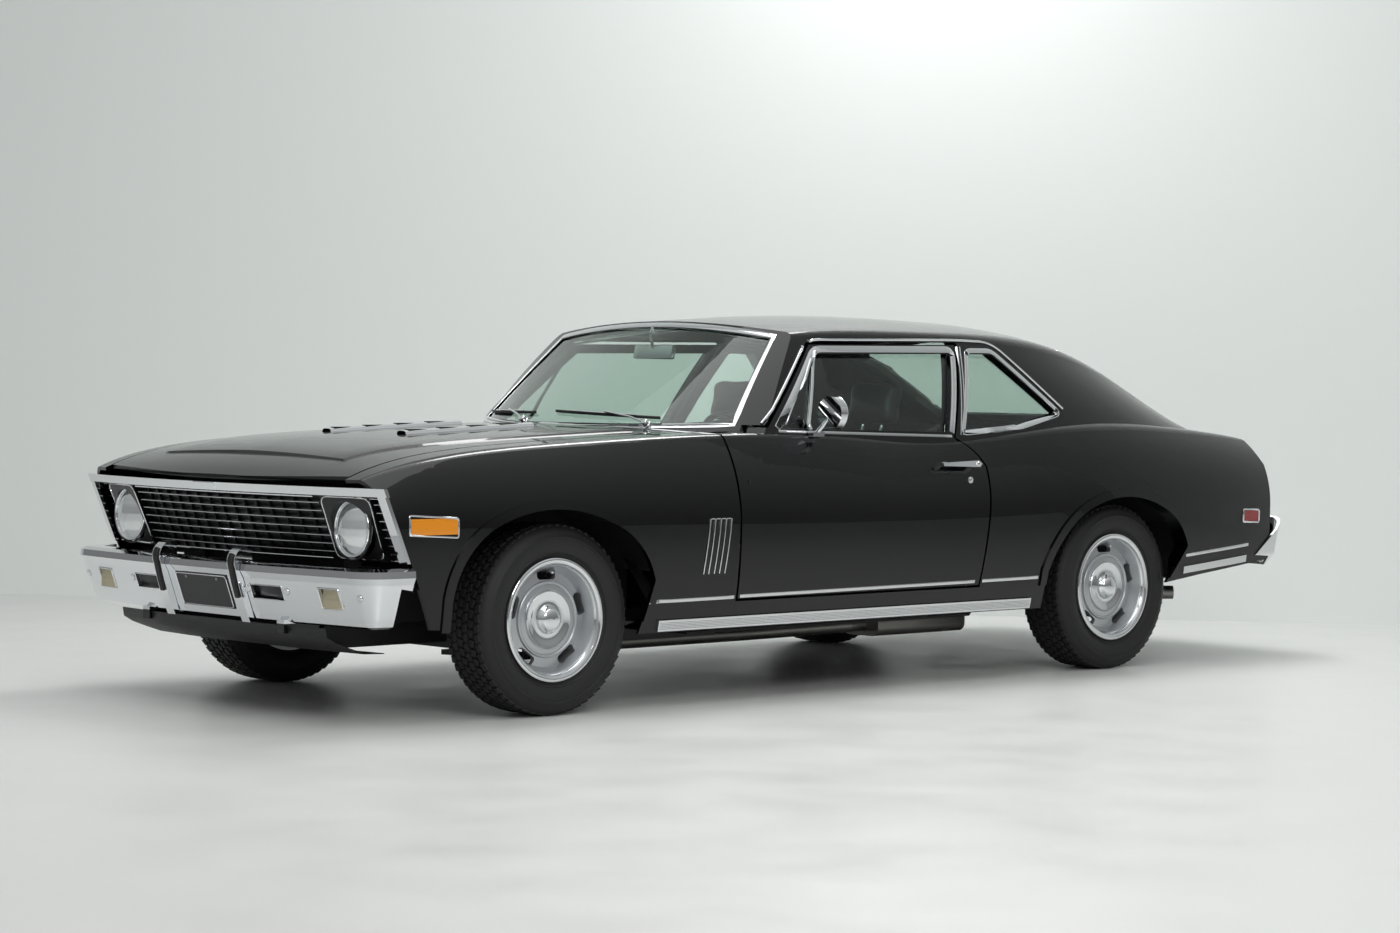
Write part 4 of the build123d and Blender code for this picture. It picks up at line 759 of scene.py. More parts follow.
def around(piece, count):
    """Repeats a piece round the X axis with an array turned by an empty, then applies it."""
    bpy.ops.object.empty_add(location=(0, 0, 0), rotation=(2 * math.pi / count, 0, 0))
    turner = bpy.context.object
    array = piece.modifiers.new("round", "ARRAY")
    array.count = count
    array.use_relative_offset = False
    array.use_object_offset = True
    array.offset_object = turner
    pick(piece)
    bpy.ops.object.modifier_apply(modifier=array.name)
    bpy.data.objects.remove(turner)
    return piece


def on_wheel(model, corner, name, smooth=35.0):
    """A copy of a part modelled round the origin, put on its wheel; the right side is turned."""
    side, y = CORNERS[corner]
    pick(model)
    bpy.ops.object.duplicate()
    piece = bpy.context.object
    if side < 0:
        piece.rotation_euler = (0, 0, math.pi)
        bpy.ops.object.transform_apply(rotation=True)
    piece.location = at(side * WHEEL_X, y, HUB_Z)
    return settle(f"{name}_{corner}", piece.data.materials[0], corner + "_wheel", smooth)


# %% Carcass and tread
GROOVE = 0.007
PITCHES = 60
PITCH = 2 * math.pi * TYRE_RADIUS / PITCHES
BLOCK_WIDTH = 0.0245
ROWS = 6
ROW_STEP = 0.0298
half, top = TYRE_HALF, TYRE_RADIUS
wall = [
    (half - 0.030, top - 0.006), (half - 0.016, top - 0.014), (half - 0.007, top - 0.027),
    (half - 0.003, top - 0.040), (half - 0.0005, top - 0.042), (half - 0.0005, top - 0.046),
    (half - 0.003, top - 0.048), (half - 0.001, top - 0.064), (half - 0.006, top - 0.082),
    (half - 0.011, top - 0.094), (half - 0.0095, top - 0.0965), (half - 0.0125, top - 0.100),
    (half - 0.016, top - 0.101), (half - 0.020, top - 0.106), (half - 0.021, top - 0.113),
    (half - 0.024, top - 0.1175), (half - 0.032, top - 0.1285),
]
floor_of_tread = [(-(half - 0.034), top - GROOVE), (half - 0.034, top - GROOVE)]
carcass = spun([(-x, r) for x, r in reversed(wall)] + floor_of_tread + wall, rubber)
parts = [carcass]
for row in range(ROWS):
    across = (row - (ROWS - 1) / 2) * ROW_STEP
    outer_row = row in (0, ROWS - 1)
    drop = 0.0016 if outer_row else 0.0004
    block = bar((BLOCK_WIDTH, PITCH * 0.8, GROOVE + 0.004),
                (across, 0, TYRE_RADIUS - (GROOVE + 0.004) / 2 - drop),
                turn=(0, (0.07 if across > 0 else -0.07) if outer_row else 0,
                      0.28 if row % 2 else -0.28), edge=0.0008, narrow=0.94)
    pick(block)
    bpy.ops.object.modifier_apply(modifier="edge")
    bpy.ops.object.transform_apply(location=True, rotation=True, scale=True)
    if row % 2:
        block.rotation_euler = (math.pi / PITCHES, 0, 0)
        bpy.ops.object.transform_apply(rotation=True)
    parts.append(around(block, PITCHES))
tyre_model = merged(list(reversed(parts)))
for corner in CORNERS:
    tyre = on_wheel(tyre_model, corner, "road_tyre")
    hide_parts("tyre_" + corner)
bpy.data.objects.remove(tyre_model)
print(len(tyre.data.polygons), "faces in each tyre")

# %% [markdown]
# ## Wheel brightwork
# Each slotted steel wheel wears a polished trim ring inside the rim's edge and a large chrome
# cap with a domed centre. A raised painted ring stands between the cap and the slots. All are
# turned shapes, so they are spun from a section.

# %% Trim ring, raised ring, cap and valve
FACE = 0.037
ring_profile = [
    (0.0990, 0.2065), (0.1015, 0.2030), (0.1012, 0.1960), (0.0975, 0.1880), (0.0900, 0.1805),
    (0.0800, 0.1755), (0.0660, 0.1720), (0.0655, 0.1750), (0.0790, 0.1785), (0.0880, 0.1835),
    (0.0950, 0.1900), (0.0972, 0.1965), (0.0970, 0.2035),
]
raised_profile = [
    (FACE + 0.010, 0.1300), (FACE + 0.021, 0.1285), (FACE + 0.0245, 0.1255),
    (FACE + 0.0245, 0.1215), (FACE + 0.021, 0.1175), (FACE + 0.012, 0.1150),
]
cap_profile = [
    (FACE + 0.015, 0.0965), (FACE + 0.024, 0.0960), (FACE + 0.0275, 0.0925),
    (FACE + 0.0265, 0.0840), (FACE + 0.0235, 0.0720), (FACE + 0.0225, 0.0600),
    (FACE + 0.0235, 0.0505), (FACE + 0.0300, 0.0485), (FACE + 0.0335, 0.0470),
    (FACE + 0.0350, 0.0435), (FACE + 0.0440, 0.0400), (FACE + 0.0490, 0.0350),
    (FACE + 0.0520, 0.0250), (FACE + 0.0535, 0.0130), (FACE + 0.0540, 0.0004),
]
valve = finished([
    disc(0.0042, 0.026, (FACE + 0.030, 0, 0.158), (0, math.pi / 2, 0), 0.0008, 12),
    disc(0.0052, 0.010, (FACE + 0.042, 0, 0.158), (0, math.pi / 2, 0), 0.001, 12, 0.85),
], "valve_model", chrome, "body")
models = {
    "trim_ring": spun(ring_profile, chrome),
    "raised_ring": spun(raised_profile, silver),
    "hub_cap": spun(cap_profile, chrome, closed=False),
    "valve_stem": valve,
}
for name, model in models.items():
    model.parent = None
    for corner in CORNERS:
        on_wheel(model, corner, name, 50.0)
    bpy.data.objects.remove(model)
print(4 * len(models), "pieces of wheel brightwork")

# %% [markdown]
# ## Bright mouldings
# Bright strips outline the windshield, the door glass and the quarter window, run low along
# the sides and cap the drip rail. Their paths are drawn flat, as seen from the side or from
# ahead, and then laid on the bodywork, so they follow the panels without fitting by eye.

# %% Windshield and rear window mouldings
def opening(low_half, low_z, low_rise, high_half, high_z, high_rise):
    """Outline of a window with bowed top and bottom edges, from its lower right corner up."""
    top_edge = arc((-high_half, high_z), (high_half, high_z), high_rise, 17)
    low_edge = arc((low_half, low_z), (-low_half, low_z), low_rise, 17)
    left_edge = between((high_half, high_z), (low_half, low_z), 9)[1:-1]
    right_edge = between((-low_half, low_z), (-high_half, high_z), 9)[1:-1]
    return top_edge + left_edge + low_edge + right_edge


CABIN_FRONT = tree_of(["roof", "body_glass"])
ribbon("windshield_moulding", opening(0.700, 0.958, -0.0115, 0.594, 1.275, 0.043), 0.016, chrome,
       "body", CABIN_FRONT, FRONT, closed=True)
CABIN_REAR = tree_of(["roof", "package_shelf", "quarter_left", "quarter_right", "body_glass"])
rear_outline = arc((-0.552, 2.814), (0.552, 2.814), -0.016, 13)
rear_outline += between((0.552, 2.814), (0.607, 3.398), 9)[1:-1]
rear_outline += arc((0.607, 3.398), (-0.607, 3.398), 0.040, 13)
rear_outline += between((-0.607, 3.398), (-0.552, 2.814), 9)[1:-1]
ribbon("rear_window_moulding", rear_outline, 0.018, chrome, "body", CABIN_REAR, ABOVE, closed=True)

# %% Door glass, vent and quarter window mouldings
DOOR_TREE = tree_of(["door_left", "door_left_glass"])
DOOR_FRAME = [(1.058, 0.948), (1.337, 1.230), (2.070, 1.234), (1.940, 0.926)]
VENT_BAR = between((1.212, 0.940), (1.340, 1.222), 7)
VENT_EDGE = [(1.112, 0.958), (1.310, 1.196), (1.322, 1.196), (1.226, 0.956)]
BELT = [(1.060, 0.937), (1.936, 0.912)]
on_door = {"body": "left_door", "tree": DOOR_TREE}
pieces = [
    ribbon("door_frame_moulding_left", DOOR_FRAME, 0.024, chrome, radius=0.035, **on_door),
    ribbon("vent_bar_left", VENT_BAR, 0.014, chrome, thickness=0.010, lift=0.006, **on_door),
    ribbon("vent_edge_left", VENT_EDGE, 0.006, chrome, radius=0.02, thickness=0.006, lift=0.004,
           **on_door),
    ribbon("door_belt_left", BELT, 0.010, aluminium, thickness=0.006, **on_door),
]
quarter_path = [(1.999, 0.922), (2.144, 1.231), (2.289, 1.231), (2.572, 0.994), (2.330, 0.944)]
pieces.append(ribbon("quarter_window_moulding_left", quarter_path, 0.018, chrome, "body",
                     radius=0.028, closed=True, spacing=0.03))
drip_path = [(1.000, 0.962), (1.312, 1.262), (2.100, 1.268), (2.300, 1.262), (2.590, 1.010)]
drip_points = [look(LEFT_SIDE, SIDE, *point, 0.004)
               for point in dense(rounded(drip_path, 0.06), 0.04)]
pieces.append(bead("drip_rail_left", drip_points, 0.005, chrome, "body"))
PILLAR_LINES = (2.104, 2.118)
for i, top_y in enumerate(PILLAR_LINES):
    line = [(top_y, 1.246), (top_y - 0.118, 0.916)]
    pieces.append(ribbon(f"pillar_strip_{i + 1}_left", line, 0.005, aluminium, "body",
                         thickness=0.004))

# %% Strips low on the sides
STRIP_HEIGHT = 0.013
SIDE_STRIPS = {
    "fender_strip": ("body", (0.372, 0.366), (0.766, 0.368)),
    "door_strip": ("left_door", (0.792, 0.370), (1.985, 0.375)),
    "quarter_strip": ("body", (2.024, 0.376), (2.330, 0.378)),
    "tail_strip": ("body", (3.190, 0.432), (3.615, 0.462)),
}
for name, (body, start, end) in SIDE_STRIPS.items():
    pieces.append(ribbon(name + "_left", [start, end], STRIP_HEIGHT, aluminium, body,
                         thickness=0.005))
ROCKER_TREE = tree_of(["rocker_mouldings"])
ribs = []
for i in range(5):
    z = 0.2695 + i * 0.0052
    run = [look(ROCKER_TREE, SIDE, y, z, 0.0004) for y in spread(0.432, 2.294, 40)]
    ribs.append(bead("rib", run, 0.0014, aluminium, "body"))
merged(ribs)
pieces.append(settle("rocker_ribs_left", aluminium, "body"))

# %% [markdown]
# The louvres behind the front wheel are four dummy slots with five bright lines between them
# and one across their tops. Each line is a narrow stamping on the fender.

# %% Fender louvres
LOUVRE_TOPS = (0.637, 0.660, 0.686, 0.710, 0.735)
LOUVRE_LEAN = 0.025
LOUVRE_TOP, LOUVRE_FOOT = 0.642, 0.452
louvres = []
for y in LOUVRE_TOPS:
    line = [(y, LOUVRE_TOP), (y - LOUVRE_LEAN, LOUVRE_FOOT)]
    louvres.append(ribbon("line", line, 0.005, aluminium, "body", thickness=0.005, lift=0.001))
for a, b in zip(LOUVRE_TOPS, LOUVRE_TOPS[1:]):
    line = [(a + 0.003, LOUVRE_TOP), (b - 0.003, LOUVRE_TOP)]
    louvres.append(ribbon("top", line, 0.004, aluminium, "body", thickness=0.004))
merged(louvres)
pieces.append(settle("fender_louvre_lines_left", aluminium, "body"))
slots = []
for a, b in zip(LOUVRE_TOPS, LOUVRE_TOPS[1:]):
    middle = (a + b) / 2
    line = [(middle, LOUVRE_TOP - 0.006), (middle - LOUVRE_LEAN, LOUVRE_FOOT + 0.004)]
    slots.append(ribbon("slot", line, b - a - 0.008, black_trim, "body", thickness=0.002,
                        lift=0.0))
merged(slots)
pieces.append(settle("fender_louvre_slots_left", black_trim, "body"))

# %% Markers, lock and door button
MARKERS = {"front_marker_frame": (-0.533, 0.645, 0.181, 0.062, -0.012, "front_markers"),
           "rear_marker_frame": (3.622, 0.578, 0.114, 0.050, -0.006, "rear_markers")}
for name, (y, z, length, height, slant, lamp) in MARKERS.items():
    tree = tree_of(["fender_left", "quarter_left", lamp])
    frame_path = []
    for along, up in ((-1, -1), (1, -1), (1, 1), (-1, 1)):
        frame_path.append((y + along * length / 2, z + up * height / 2 + along * slant / 2))
    pieces.append(ribbon(name + "_left", frame_path, 0.006, chrome, "body", tree, radius=0.008,
                         closed=True, thickness=0.006, lift=0.001, spacing=0.02))
LOCK = (1.962, 0.751)
lock_place = look(DOOR_TREE, SIDE, *LOCK, 0.001)
pieces.append(finished([
    disc(0.0125, 0.004, lock_place, (0, math.pi / 2, 0), 0.001, 32),
    disc(0.0095, 0.009, lock_place, (0, math.pi / 2, 0), 0.001, 32, 0.9),
], "door_lock_left", chrome, "left_door"))
button_place = look(tree_of(["door_left_trim"]), SIDE, 1.982, 0.812, 0.001)
pieces.append(finished([disc(0.0085, 0.010, button_place, (0, math.pi / 2, 0), 0.001, 24, 0.9)],
                       "handle_button_left", chrome, "left_door"))
for piece in pieces:
    both_sides(piece)
print(2 * len(pieces), "side trims")

# %% [markdown]
# ## Hood
# The hood has a raised centre panel with a soft ridge down its middle, and two long bright
# dummy vents towards its rear. The raised panel is a sheet of points lifted off the CAD hood.

# %% Raised hood panel
HOOD_TREE = tree_of(["hood"])
PANEL_FRONT, PANEL_REAR = -0.635, 0.596
PANEL_HALF = [(-0.635, 0.525), (-0.50, 0.530), (-0.30, 0.560), (0.0, 0.565), (0.596, 0.560)]
PANEL_RISE = 0.007
RIDGE = 0.004


def panel_half(y):
    """Half the raised panel's width at a distance from the axle."""
    for (y0, half0), (y1, half1) in zip(PANEL_HALF, PANEL_HALF[1:]):
        if y <= y1:
            return half0 + (half1 - half0) * (y - y0) / (y1 - y0)
    return PANEL_HALF[-1][1]


HALF_ACROSS = [0.05, 0.2, 0.4, 0.6, 0.8, 0.95, 0.985, 1]
ACROSS = [-share for share in reversed(HALF_ACROSS)] + [0] + HALF_ACROSS
EDGE_RISE = {0: -0.0015, 1: PANEL_RISE * 0.75}
rows = []
stations = [PANEL_FRONT, PANEL_FRONT + 0.008] + spread(-0.60, 0.59, 22)
for i, y in enumerate(stations + [PANEL_REAR]):
    row = []
    for j, share in enumerate(ACROSS):
        from_edge = min(j, len(ACROSS) - 1 - j, i, len(stations) - i)
        rise = EDGE_RISE.get(from_edge, PANEL_RISE) + (RIDGE * (1 - abs(share)) if from_edge else 0)
        row.append(look(HOOD_TREE, ABOVE, share * panel_half(y), y) + Vector((0, 0, rise)))
    rows.append(row)
skin(rows, 0.0008)
settle("hood_raised_panel", enamel, "hood_lid", 30.0)

# %% Hood vents
VENT_X, VENT_FRONT, VENT_REAR = 0.205, -0.165, 0.410
VENT_PORTS = 4
for side, hand in ((1, "left"), (-1, "right")):
    spine = []
    for y, share in between((VENT_FRONT, 0), (VENT_REAR, 1), 18):
        x = side * (VENT_X + 0.012 * (1 - share))
        spine.append(look(HOOD_TREE, ABOVE, x, y) + Vector((0, 0, PANEL_RISE + RIDGE)))
    rows = []
    for across, rise in ((-0.026, -0.002), (-0.022, 0.007), (-0.012, 0.010), (0.012, 0.010),
                         (0.022, 0.007), (0.026, -0.002)):
        rows.append([point + Vector((across, 0, rise)) for point in spine])
    vent = skin(rows, 0.0015)
    ports = []
    for i in range(VENT_PORTS):
        place = spine[i * 4 + 2] + Vector((0, 0, 0.0108))
        ports.append(bar((0.026, 0.085, 0.003), place, edge=0.001))
    finished(ports, f"hood_vent_ports_{hand}", black_trim, "hood_lid")
    pick(vent)
    settle(f"hood_vent_{hand}", chrome, "hood_lid")

# %% [markdown]
# ## Face
# The grille is black, with a bright line along its top and bottom. Each headlamp sits in a
# black bezel with a thin bright outline and has a chrome retaining ring. Fittings on the
# bumper are small bolts, black slots, rubber strips on the guards and a blank plate.

# %% Lines and rings of the grille
FACE_BOW, FACE_HALF = 0.100, 0.873
FACE_RADIUS = (FACE_HALF ** 2 + FACE_BOW ** 2) / (2 * FACE_BOW)
FACE_Y, FACE_TOP, FACE_LEAN = -0.812, 0.742, 0.42
LAMP_X, LAMP_Z, BEZEL_HALF = 0.654, 0.634, 0.118


def on_face(x, z, back):
    """Point of the car's bowed and leaning face, some way behind the header's foot."""
    bow = FACE_RADIUS - math.sqrt(FACE_RADIUS ** 2 - x * x)
    return at(x, FACE_Y + bow + FACE_LEAN * (FACE_TOP - z) + back, z)


inner = LAMP_X - BEZEL_HALF
for name, z, back in (("top", 0.7355, 0.020), ("bottom", 0.5335, 0.020)):
    run = [on_face(x, z, back) for x in spread(-inner + 0.012, inner - 0.012, 25)]
    bead(f"grille_{name}_line", run, 0.0028, chrome, "body")
BAR_PITCH, BAR_LOW = 0.02675, 0.528
bar_edges = []
for i in range(1, 8):
    z = BAR_LOW + i * BAR_PITCH
    for start, end, count in ((-0.534, 0.534, 21), (0.776, 0.828, 4), (-0.828, -0.776, 4)):
        run = [on_face(x, z, 0.0276) for x in spread(start, end, count)]
        bar_edges.append(bead("edge", run, 0.0013, aluminium, "body"))
merged(bar_edges)
settle("grille_bar_edges", aluminium, "body")
face_pieces = []
bezel_edge = [
    (LAMP_X - BEZEL_HALF + 0.006, 0.534), (LAMP_X + BEZEL_HALF * 0.80, 0.534),
    (LAMP_X + BEZEL_HALF * 0.97, 0.736), (LAMP_X - BEZEL_HALF * 0.84, 0.736),
]
run = [on_face(x, z, 0.0215) for x, z in rounded(bezel_edge, 0.03, closed=True)]
face_pieces.append(bead("bezel_outline_left", run, 0.0026, chrome, "body", closed=True))
for name, z in (("top", 0.7355), ("bottom", 0.5335)):
    run = [on_face(x, z, 0.020) for x in spread(0.776, 0.828, 5)]
    face_pieces.append(bead(f"outer_grille_{name}_line_left", run, 0.0024, chrome, "body"))
LAMP_FRONT = -0.6925
hoop(0.0905, 0.0052, at(LAMP_X, LAMP_FRONT, LAMP_Z), across=12)
face_pieces.append(settle("headlamp_ring_left", chrome, "body"))
hoop(0.1005, 0.0030, at(LAMP_X, LAMP_FRONT + 0.002, LAMP_Z))
face_pieces.append(settle("headlamp_outer_ring_left", black_trim, "body"))

# %% Bumper fittings
BUMPER_TREE = tree_of(["front_bumper", "bumper_guards"])
SLOT_X, SLOT_HALF, SLOT_Z = 0.352, 0.080, 0.4175
lean = math.atan2(0.042, 0.112)


def on_bumper(x, z, lift=0.0):
    return look(BUMPER_TREE, FRONT, x, z, lift)


backing = bar((SLOT_HALF * 2.1, 0.004, 0.052), at(SLOT_X, -0.792, SLOT_Z), (lean, 0, 0), 0.001)
face_pieces.append(finished([backing], "bumper_slot_back_left", black_trim, "body"))
slot_edge = [(SLOT_X - 0.082, 0.3935), (SLOT_X + 0.082, 0.3935), (SLOT_X + 0.082, 0.4415),
             (SLOT_X - 0.082, 0.4415)]
run = [on_bumper(x, z, 0.0) for x, z in dense(rounded(slot_edge, 0.004, True), 0.03, True)]
face_pieces.append(bead("bumper_slot_edge_left", run, 0.0022, chrome, "body", closed=True))
bolts = []
for x, z in ((0.256, 0.425), (0.456, 0.425), (0.800, 0.420)):
    place = on_bumper(x, z, 0.002)
    bolts.append(disc(0.0135, 0.007, place, (math.pi / 2 + lean, 0, 0), 0.0025, 24, 0.8))
face_pieces.append(finished(bolts, "bumper_bolts_left", chrome, "body", 60.0))
SIGNAL_MIDDLE, SIGNAL_HALF = 0.659, 0.049
signal_from, signal_to = SIGNAL_MIDDLE - SIGNAL_HALF, SIGNAL_MIDDLE + SIGNAL_HALF
signal_edge = [(signal_from, 0.378), (signal_to, 0.378), (signal_to, 0.446), (signal_from, 0.446)]
run = [on_bumper(x, z, 0.001) for x, z in dense(rounded(signal_edge, 0.008, True), 0.03, True)]
face_pieces.append(bead("signal_frame_left", run, 0.0030, chrome, "body", closed=True))
GUARD_X = 0.222
strip_rows = []
for across in (-0.012, -0.009, 0.009, 0.012):
    lift = 0.006 if abs(across) < 0.01 else 0.001
    strip_rows.append([on_bumper(GUARD_X + across, z, lift)
                       for z in spread(0.395, 0.538, 12)])
skin(strip_rows, 0.002)
face_pieces.append(settle("guard_rubber_left", rubber_strip, "body"))
for piece in face_pieces:
    both_sides(piece)
rows = []
for y, z in ((-0.785, 0.312), (-0.780, 0.282), (-0.745, 0.262), (-0.690, 0.242), (-0.630, 0.222),
             (-0.550, 0.219)):
    rows.append([at(x, y + 0.11 * max(0.0, abs(x) - 0.33), z)
                 for x in spread(-0.60, 0.60, 17)])
skin(rows, 0.003)
settle("front_valance", chassis_paint, "body", 60.0)
PLATE_TREE = tree_of(["front_plate"])
plate_edge = [(-0.148, 0.354), (0.148, 0.354), (0.148, 0.459), (-0.148, 0.459)]
run = [look(PLATE_TREE, FRONT, x * 0.995, z, 0.001) for x, z in rounded(plate_edge, 0.012, True)]
bead("plate_frame", run, 0.0020, chrome, "body", closed=True)
plate_bolts = [disc(0.006, 0.004, look(PLATE_TREE, FRONT, x, 0.448, 0.001),
                    (math.pi / 2 + lean, 0, 0), 0.001, 16, 0.8) for x in (-0.09, 0.09)]
finished(plate_bolts, "plate_bolts", steel, "body")
print(2 * len(face_pieces) + 4, "fittings on the car's face")

# %% [markdown]
# ## Wipers and mirrors
# Two wipers lie at the foot of the glass. Each has a chrome arm from a pivot on the cowl to
# the middle of a rubber blade that follows the glass.

# %% Wipers
GLASS_FRONT = tree_of(["body_glass", "roof", "cowl"])
WIPERS = {"right": ((-0.190, 0.985), (-0.640, 0.982), (-0.215, 0.955)),
          "left": ((0.440, 0.975), (-0.065, 0.992), (0.415, 0.952))}
for hand, (blade_from, blade_to, pivot) in WIPERS.items():
    blade_line = [look(GLASS_FRONT, FRONT, x, z, 0.007)
                  for x, z in between(blade_from, blade_to, 12)]
    bead(f"wiper_blade_{hand}", blade_line, 0.0055, rubber_strip, "body")
    spine = [point + Vector((0, -0.005, 0.006)) for point in blade_line[2:-2]]
    bead(f"wiper_bridge_{hand}", spine, 0.0026, chrome, "body")
    foot = look(GLASS_FRONT, FRONT, *pivot, 0.014)
    middle = blade_line[5] + Vector((0, -0.009, 0.012))
    knee = foot.lerp(middle, 0.35) + Vector((0, -0.006, 0.008))
    bead(f"wiper_arm_{hand}", [foot, knee, middle], 0.0036, chrome, "body")
    finished([
        disc(0.014, 0.020, foot, (math.radians(50), 0, 0), 0.003, 24, 0.8),
        disc(0.018, 0.006, foot + Vector((0, 0.006, -0.008)), (math.radians(50), 0, 0), 0.001, 24),
    ], f"wiper_pivot_{hand}", chrome, "body", 60.0)

# %% Mirrors
INSIDE_MIRROR = at(0.0, 1.180, 1.215)
finished([bar((0.215, 0.022, 0.052), INSIDE_MIRROR, (math.radians(-12), 0, 0), 0.006)],
         "inside_mirror", chrome, "body")
finished([bar((0.203, 0.003, 0.042), INSIDE_MIRROR + Vector((0, 0.0115, 0.002)),
              (math.radians(-12), 0, 0), 0.001)], "inside_mirror_glass", chrome, "body")
bead("inside_mirror_stem", [INSIDE_MIRROR + Vector((0, -0.006, 0.015)),
                            INSIDE_MIRROR + Vector((0, -0.02, 0.055)),
                            INSIDE_MIRROR + Vector((0, -0.01, 0.098))], 0.006, chrome, "body")
MIRROR_FACE = at(0.884, 1.2615, 1.002)
finished([disc(0.055, 0.003, MIRROR_FACE, (math.pi / 2, 0, 0), 0.001, 48)],
         "door_mirror_glass", chrome, "left_door")
hoop(0.057, 0.0035, MIRROR_FACE)
settle("door_mirror_rim", chrome, "left_door")

# %% [markdown]
# ## Tail
# The tail lamps get chrome frames with a dividing bar, and between them the panel carries a
# blank plate. The photograph doesn't show the tail, so these follow what such cars have.

# %% Tail lamp frames, plate and lock
TAIL_TREE = tree_of(["tail_panel", "tail_lamps", "deck_lid"])
LAMP_FROM, LAMP_TO, LAMP_LOW, LAMP_HIGH = 0.430, 0.740, 0.620, 0.706
tail_pieces = []
frame_path = [(LAMP_FROM, LAMP_LOW), (LAMP_TO, LAMP_LOW), (LAMP_TO, LAMP_HIGH), (LAMP_FROM, LAMP_HIGH)]
tail_pieces.append(ribbon("tail_lamp_frame_left", frame_path, 0.010, chrome, "body", TAIL_TREE,
                          BEHIND, True, 0.008, 0.002, 0.014, 0.03))
for i, x in enumerate((0.535, 0.640)):
    line = [(x, LAMP_LOW + 0.006), (x, LAMP_HIGH - 0.006)]
    tail_pieces.append(ribbon(f"tail_lamp_bar_{i + 1}_left", line, 0.006, chrome, "body",
                              TAIL_TREE, BEHIND, thickness=0.008, lift=0.002, spacing=0.02))
for piece in tail_pieces:
    both_sides(piece)
REAR_PLATE = (0.152, 0.078)
PLATE_Z = 0.668
plate_x = spread(-REAR_PLATE[0], REAR_PLATE[0], 9)
plate_z = spread(PLATE_Z - REAR_PLATE[1], PLATE_Z + REAR_PLATE[1], 6)
rows = [[look(TAIL_TREE, BEHIND, x, z, 0.006) for x in plate_x] for z in plate_z]
bevelled(skin(rows, 0.003), 0.001)
settle("rear_plate", blank_plate, "body")
frame_path = [(-0.156, PLATE_Z - 0.082), (0.156, PLATE_Z - 0.082), (0.156, PLATE_Z + 0.082),
              (-0.156, PLATE_Z + 0.082)]
ribbon("rear_plate_frame", frame_path, 0.008, chrome, "body", TAIL_TREE, BEHIND, True, 0.010,
       0.004, 0.014, 0.03)
ribbon("deck_edge_strip", [(-0.600, 0.812), (0.600, 0.812)], 0.012, aluminium, "trunk_lid",
       TAIL_TREE, BEHIND, thickness=0.004)
lock_place = look(TAIL_TREE, BEHIND, 0, 0.842, 0.002)
finished([
    disc(0.018, 0.006, lock_place, (math.radians(60), 0, 0), 0.001, 32),
    disc(0.010, 0.012, lock_place, (math.radians(60), 0, 0), 0.001, 32, 0.9),
], "deck_lock", chrome, "trunk_lid")

# %% [markdown]
# ## Seats
# The front buckets and the rear bench are foam under grained vinyl, with sewn channels down
# their middles, and the buckets have piping round their edges. A cloth simulation would swell them
# evenly, but tight sprung seats barely move, so each pad is a subdivided block whose points are pushed
# into a crown, pulled in between the corners and pressed down along its channels.

# %% One padded piece
PAD_CUTS = 27


def pad(name, size, place, tilt, channels=0, inset=0.72, crown=0.02, channel_depth=0.007):
    """A vinyl cushion: size across, along and thick; channels run along it in the middle."""
    deselect()
    bpy.ops.mesh.primitive_cube_add(size=2)
    piece = bpy.context.object
    bpy.ops.object.mode_set(mode="EDIT")
    bpy.ops.mesh.select_all(action="SELECT")
    bpy.ops.mesh.subdivide(number_cuts=PAD_CUTS)
    bpy.ops.object.mode_set(mode="OBJECT")
    across, along, thick = (value / 2 for value in size)
    corner = min(0.045, thick * 0.9)
    for vertex in piece.data.vertices:
        u, v, w = vertex.co
        x, y, z = u * (across - corner), v * (along - corner), w * (thick - corner)
        away = Vector((u ** 7, v ** 7, w ** 3 if abs(w) < 1 else w))
        away = away.normalized() * corner
        point = Vector((x, y, z)) + away
        point.x -= 0.010 * (1 - v * v) * u
        point.y -= 0.006 * (1 - u * u) * v
        if w > 0:
            point.z += crown * (1 - u ** 4) * (1 - v ** 4) * w
            if channels and abs(v) < 0.86:
                step = 2 * inset / channels
                nearest = round((u + inset) / step) * step - inset
                if abs(u) <= inset + step / 2 and abs(nearest) <= inset + 0.001:
                    gap = (u - nearest) * across
                    fade = min(1.0, (0.86 - abs(v)) / 0.06)
                    point.z -= channel_depth * math.exp(-(gap / 0.006) ** 2) * fade * w
        vertex.co = point
    piece.rotation_euler = (tilt, 0, 0)
    piece.location = place
    smooth = piece.modifiers.new("smooth", "SUBSURF")
    smooth.levels = smooth.render_levels = 1
    settle(name, vinyl, "body", 60.0)
    return piece


def piping(name, size, place, tilt, height=0.3):
    """Vinyl-covered cord sewn round a pad's upper edge."""
    across, along, thick = (value / 2 for value in size)
    ring = [(-across, -along), (across, -along), (across, along), (-across, along)]
    turn = Quaternion((1, 0, 0), tilt)
    points = [turn @ Vector((x * 0.985, y * 0.985, thick * height)) + Vector(place)
              for x, y in dense(rounded(ring, 0.05, True), 0.04, True)]
    return bead(name, points, 0.0035, vinyl, "body", closed=True)


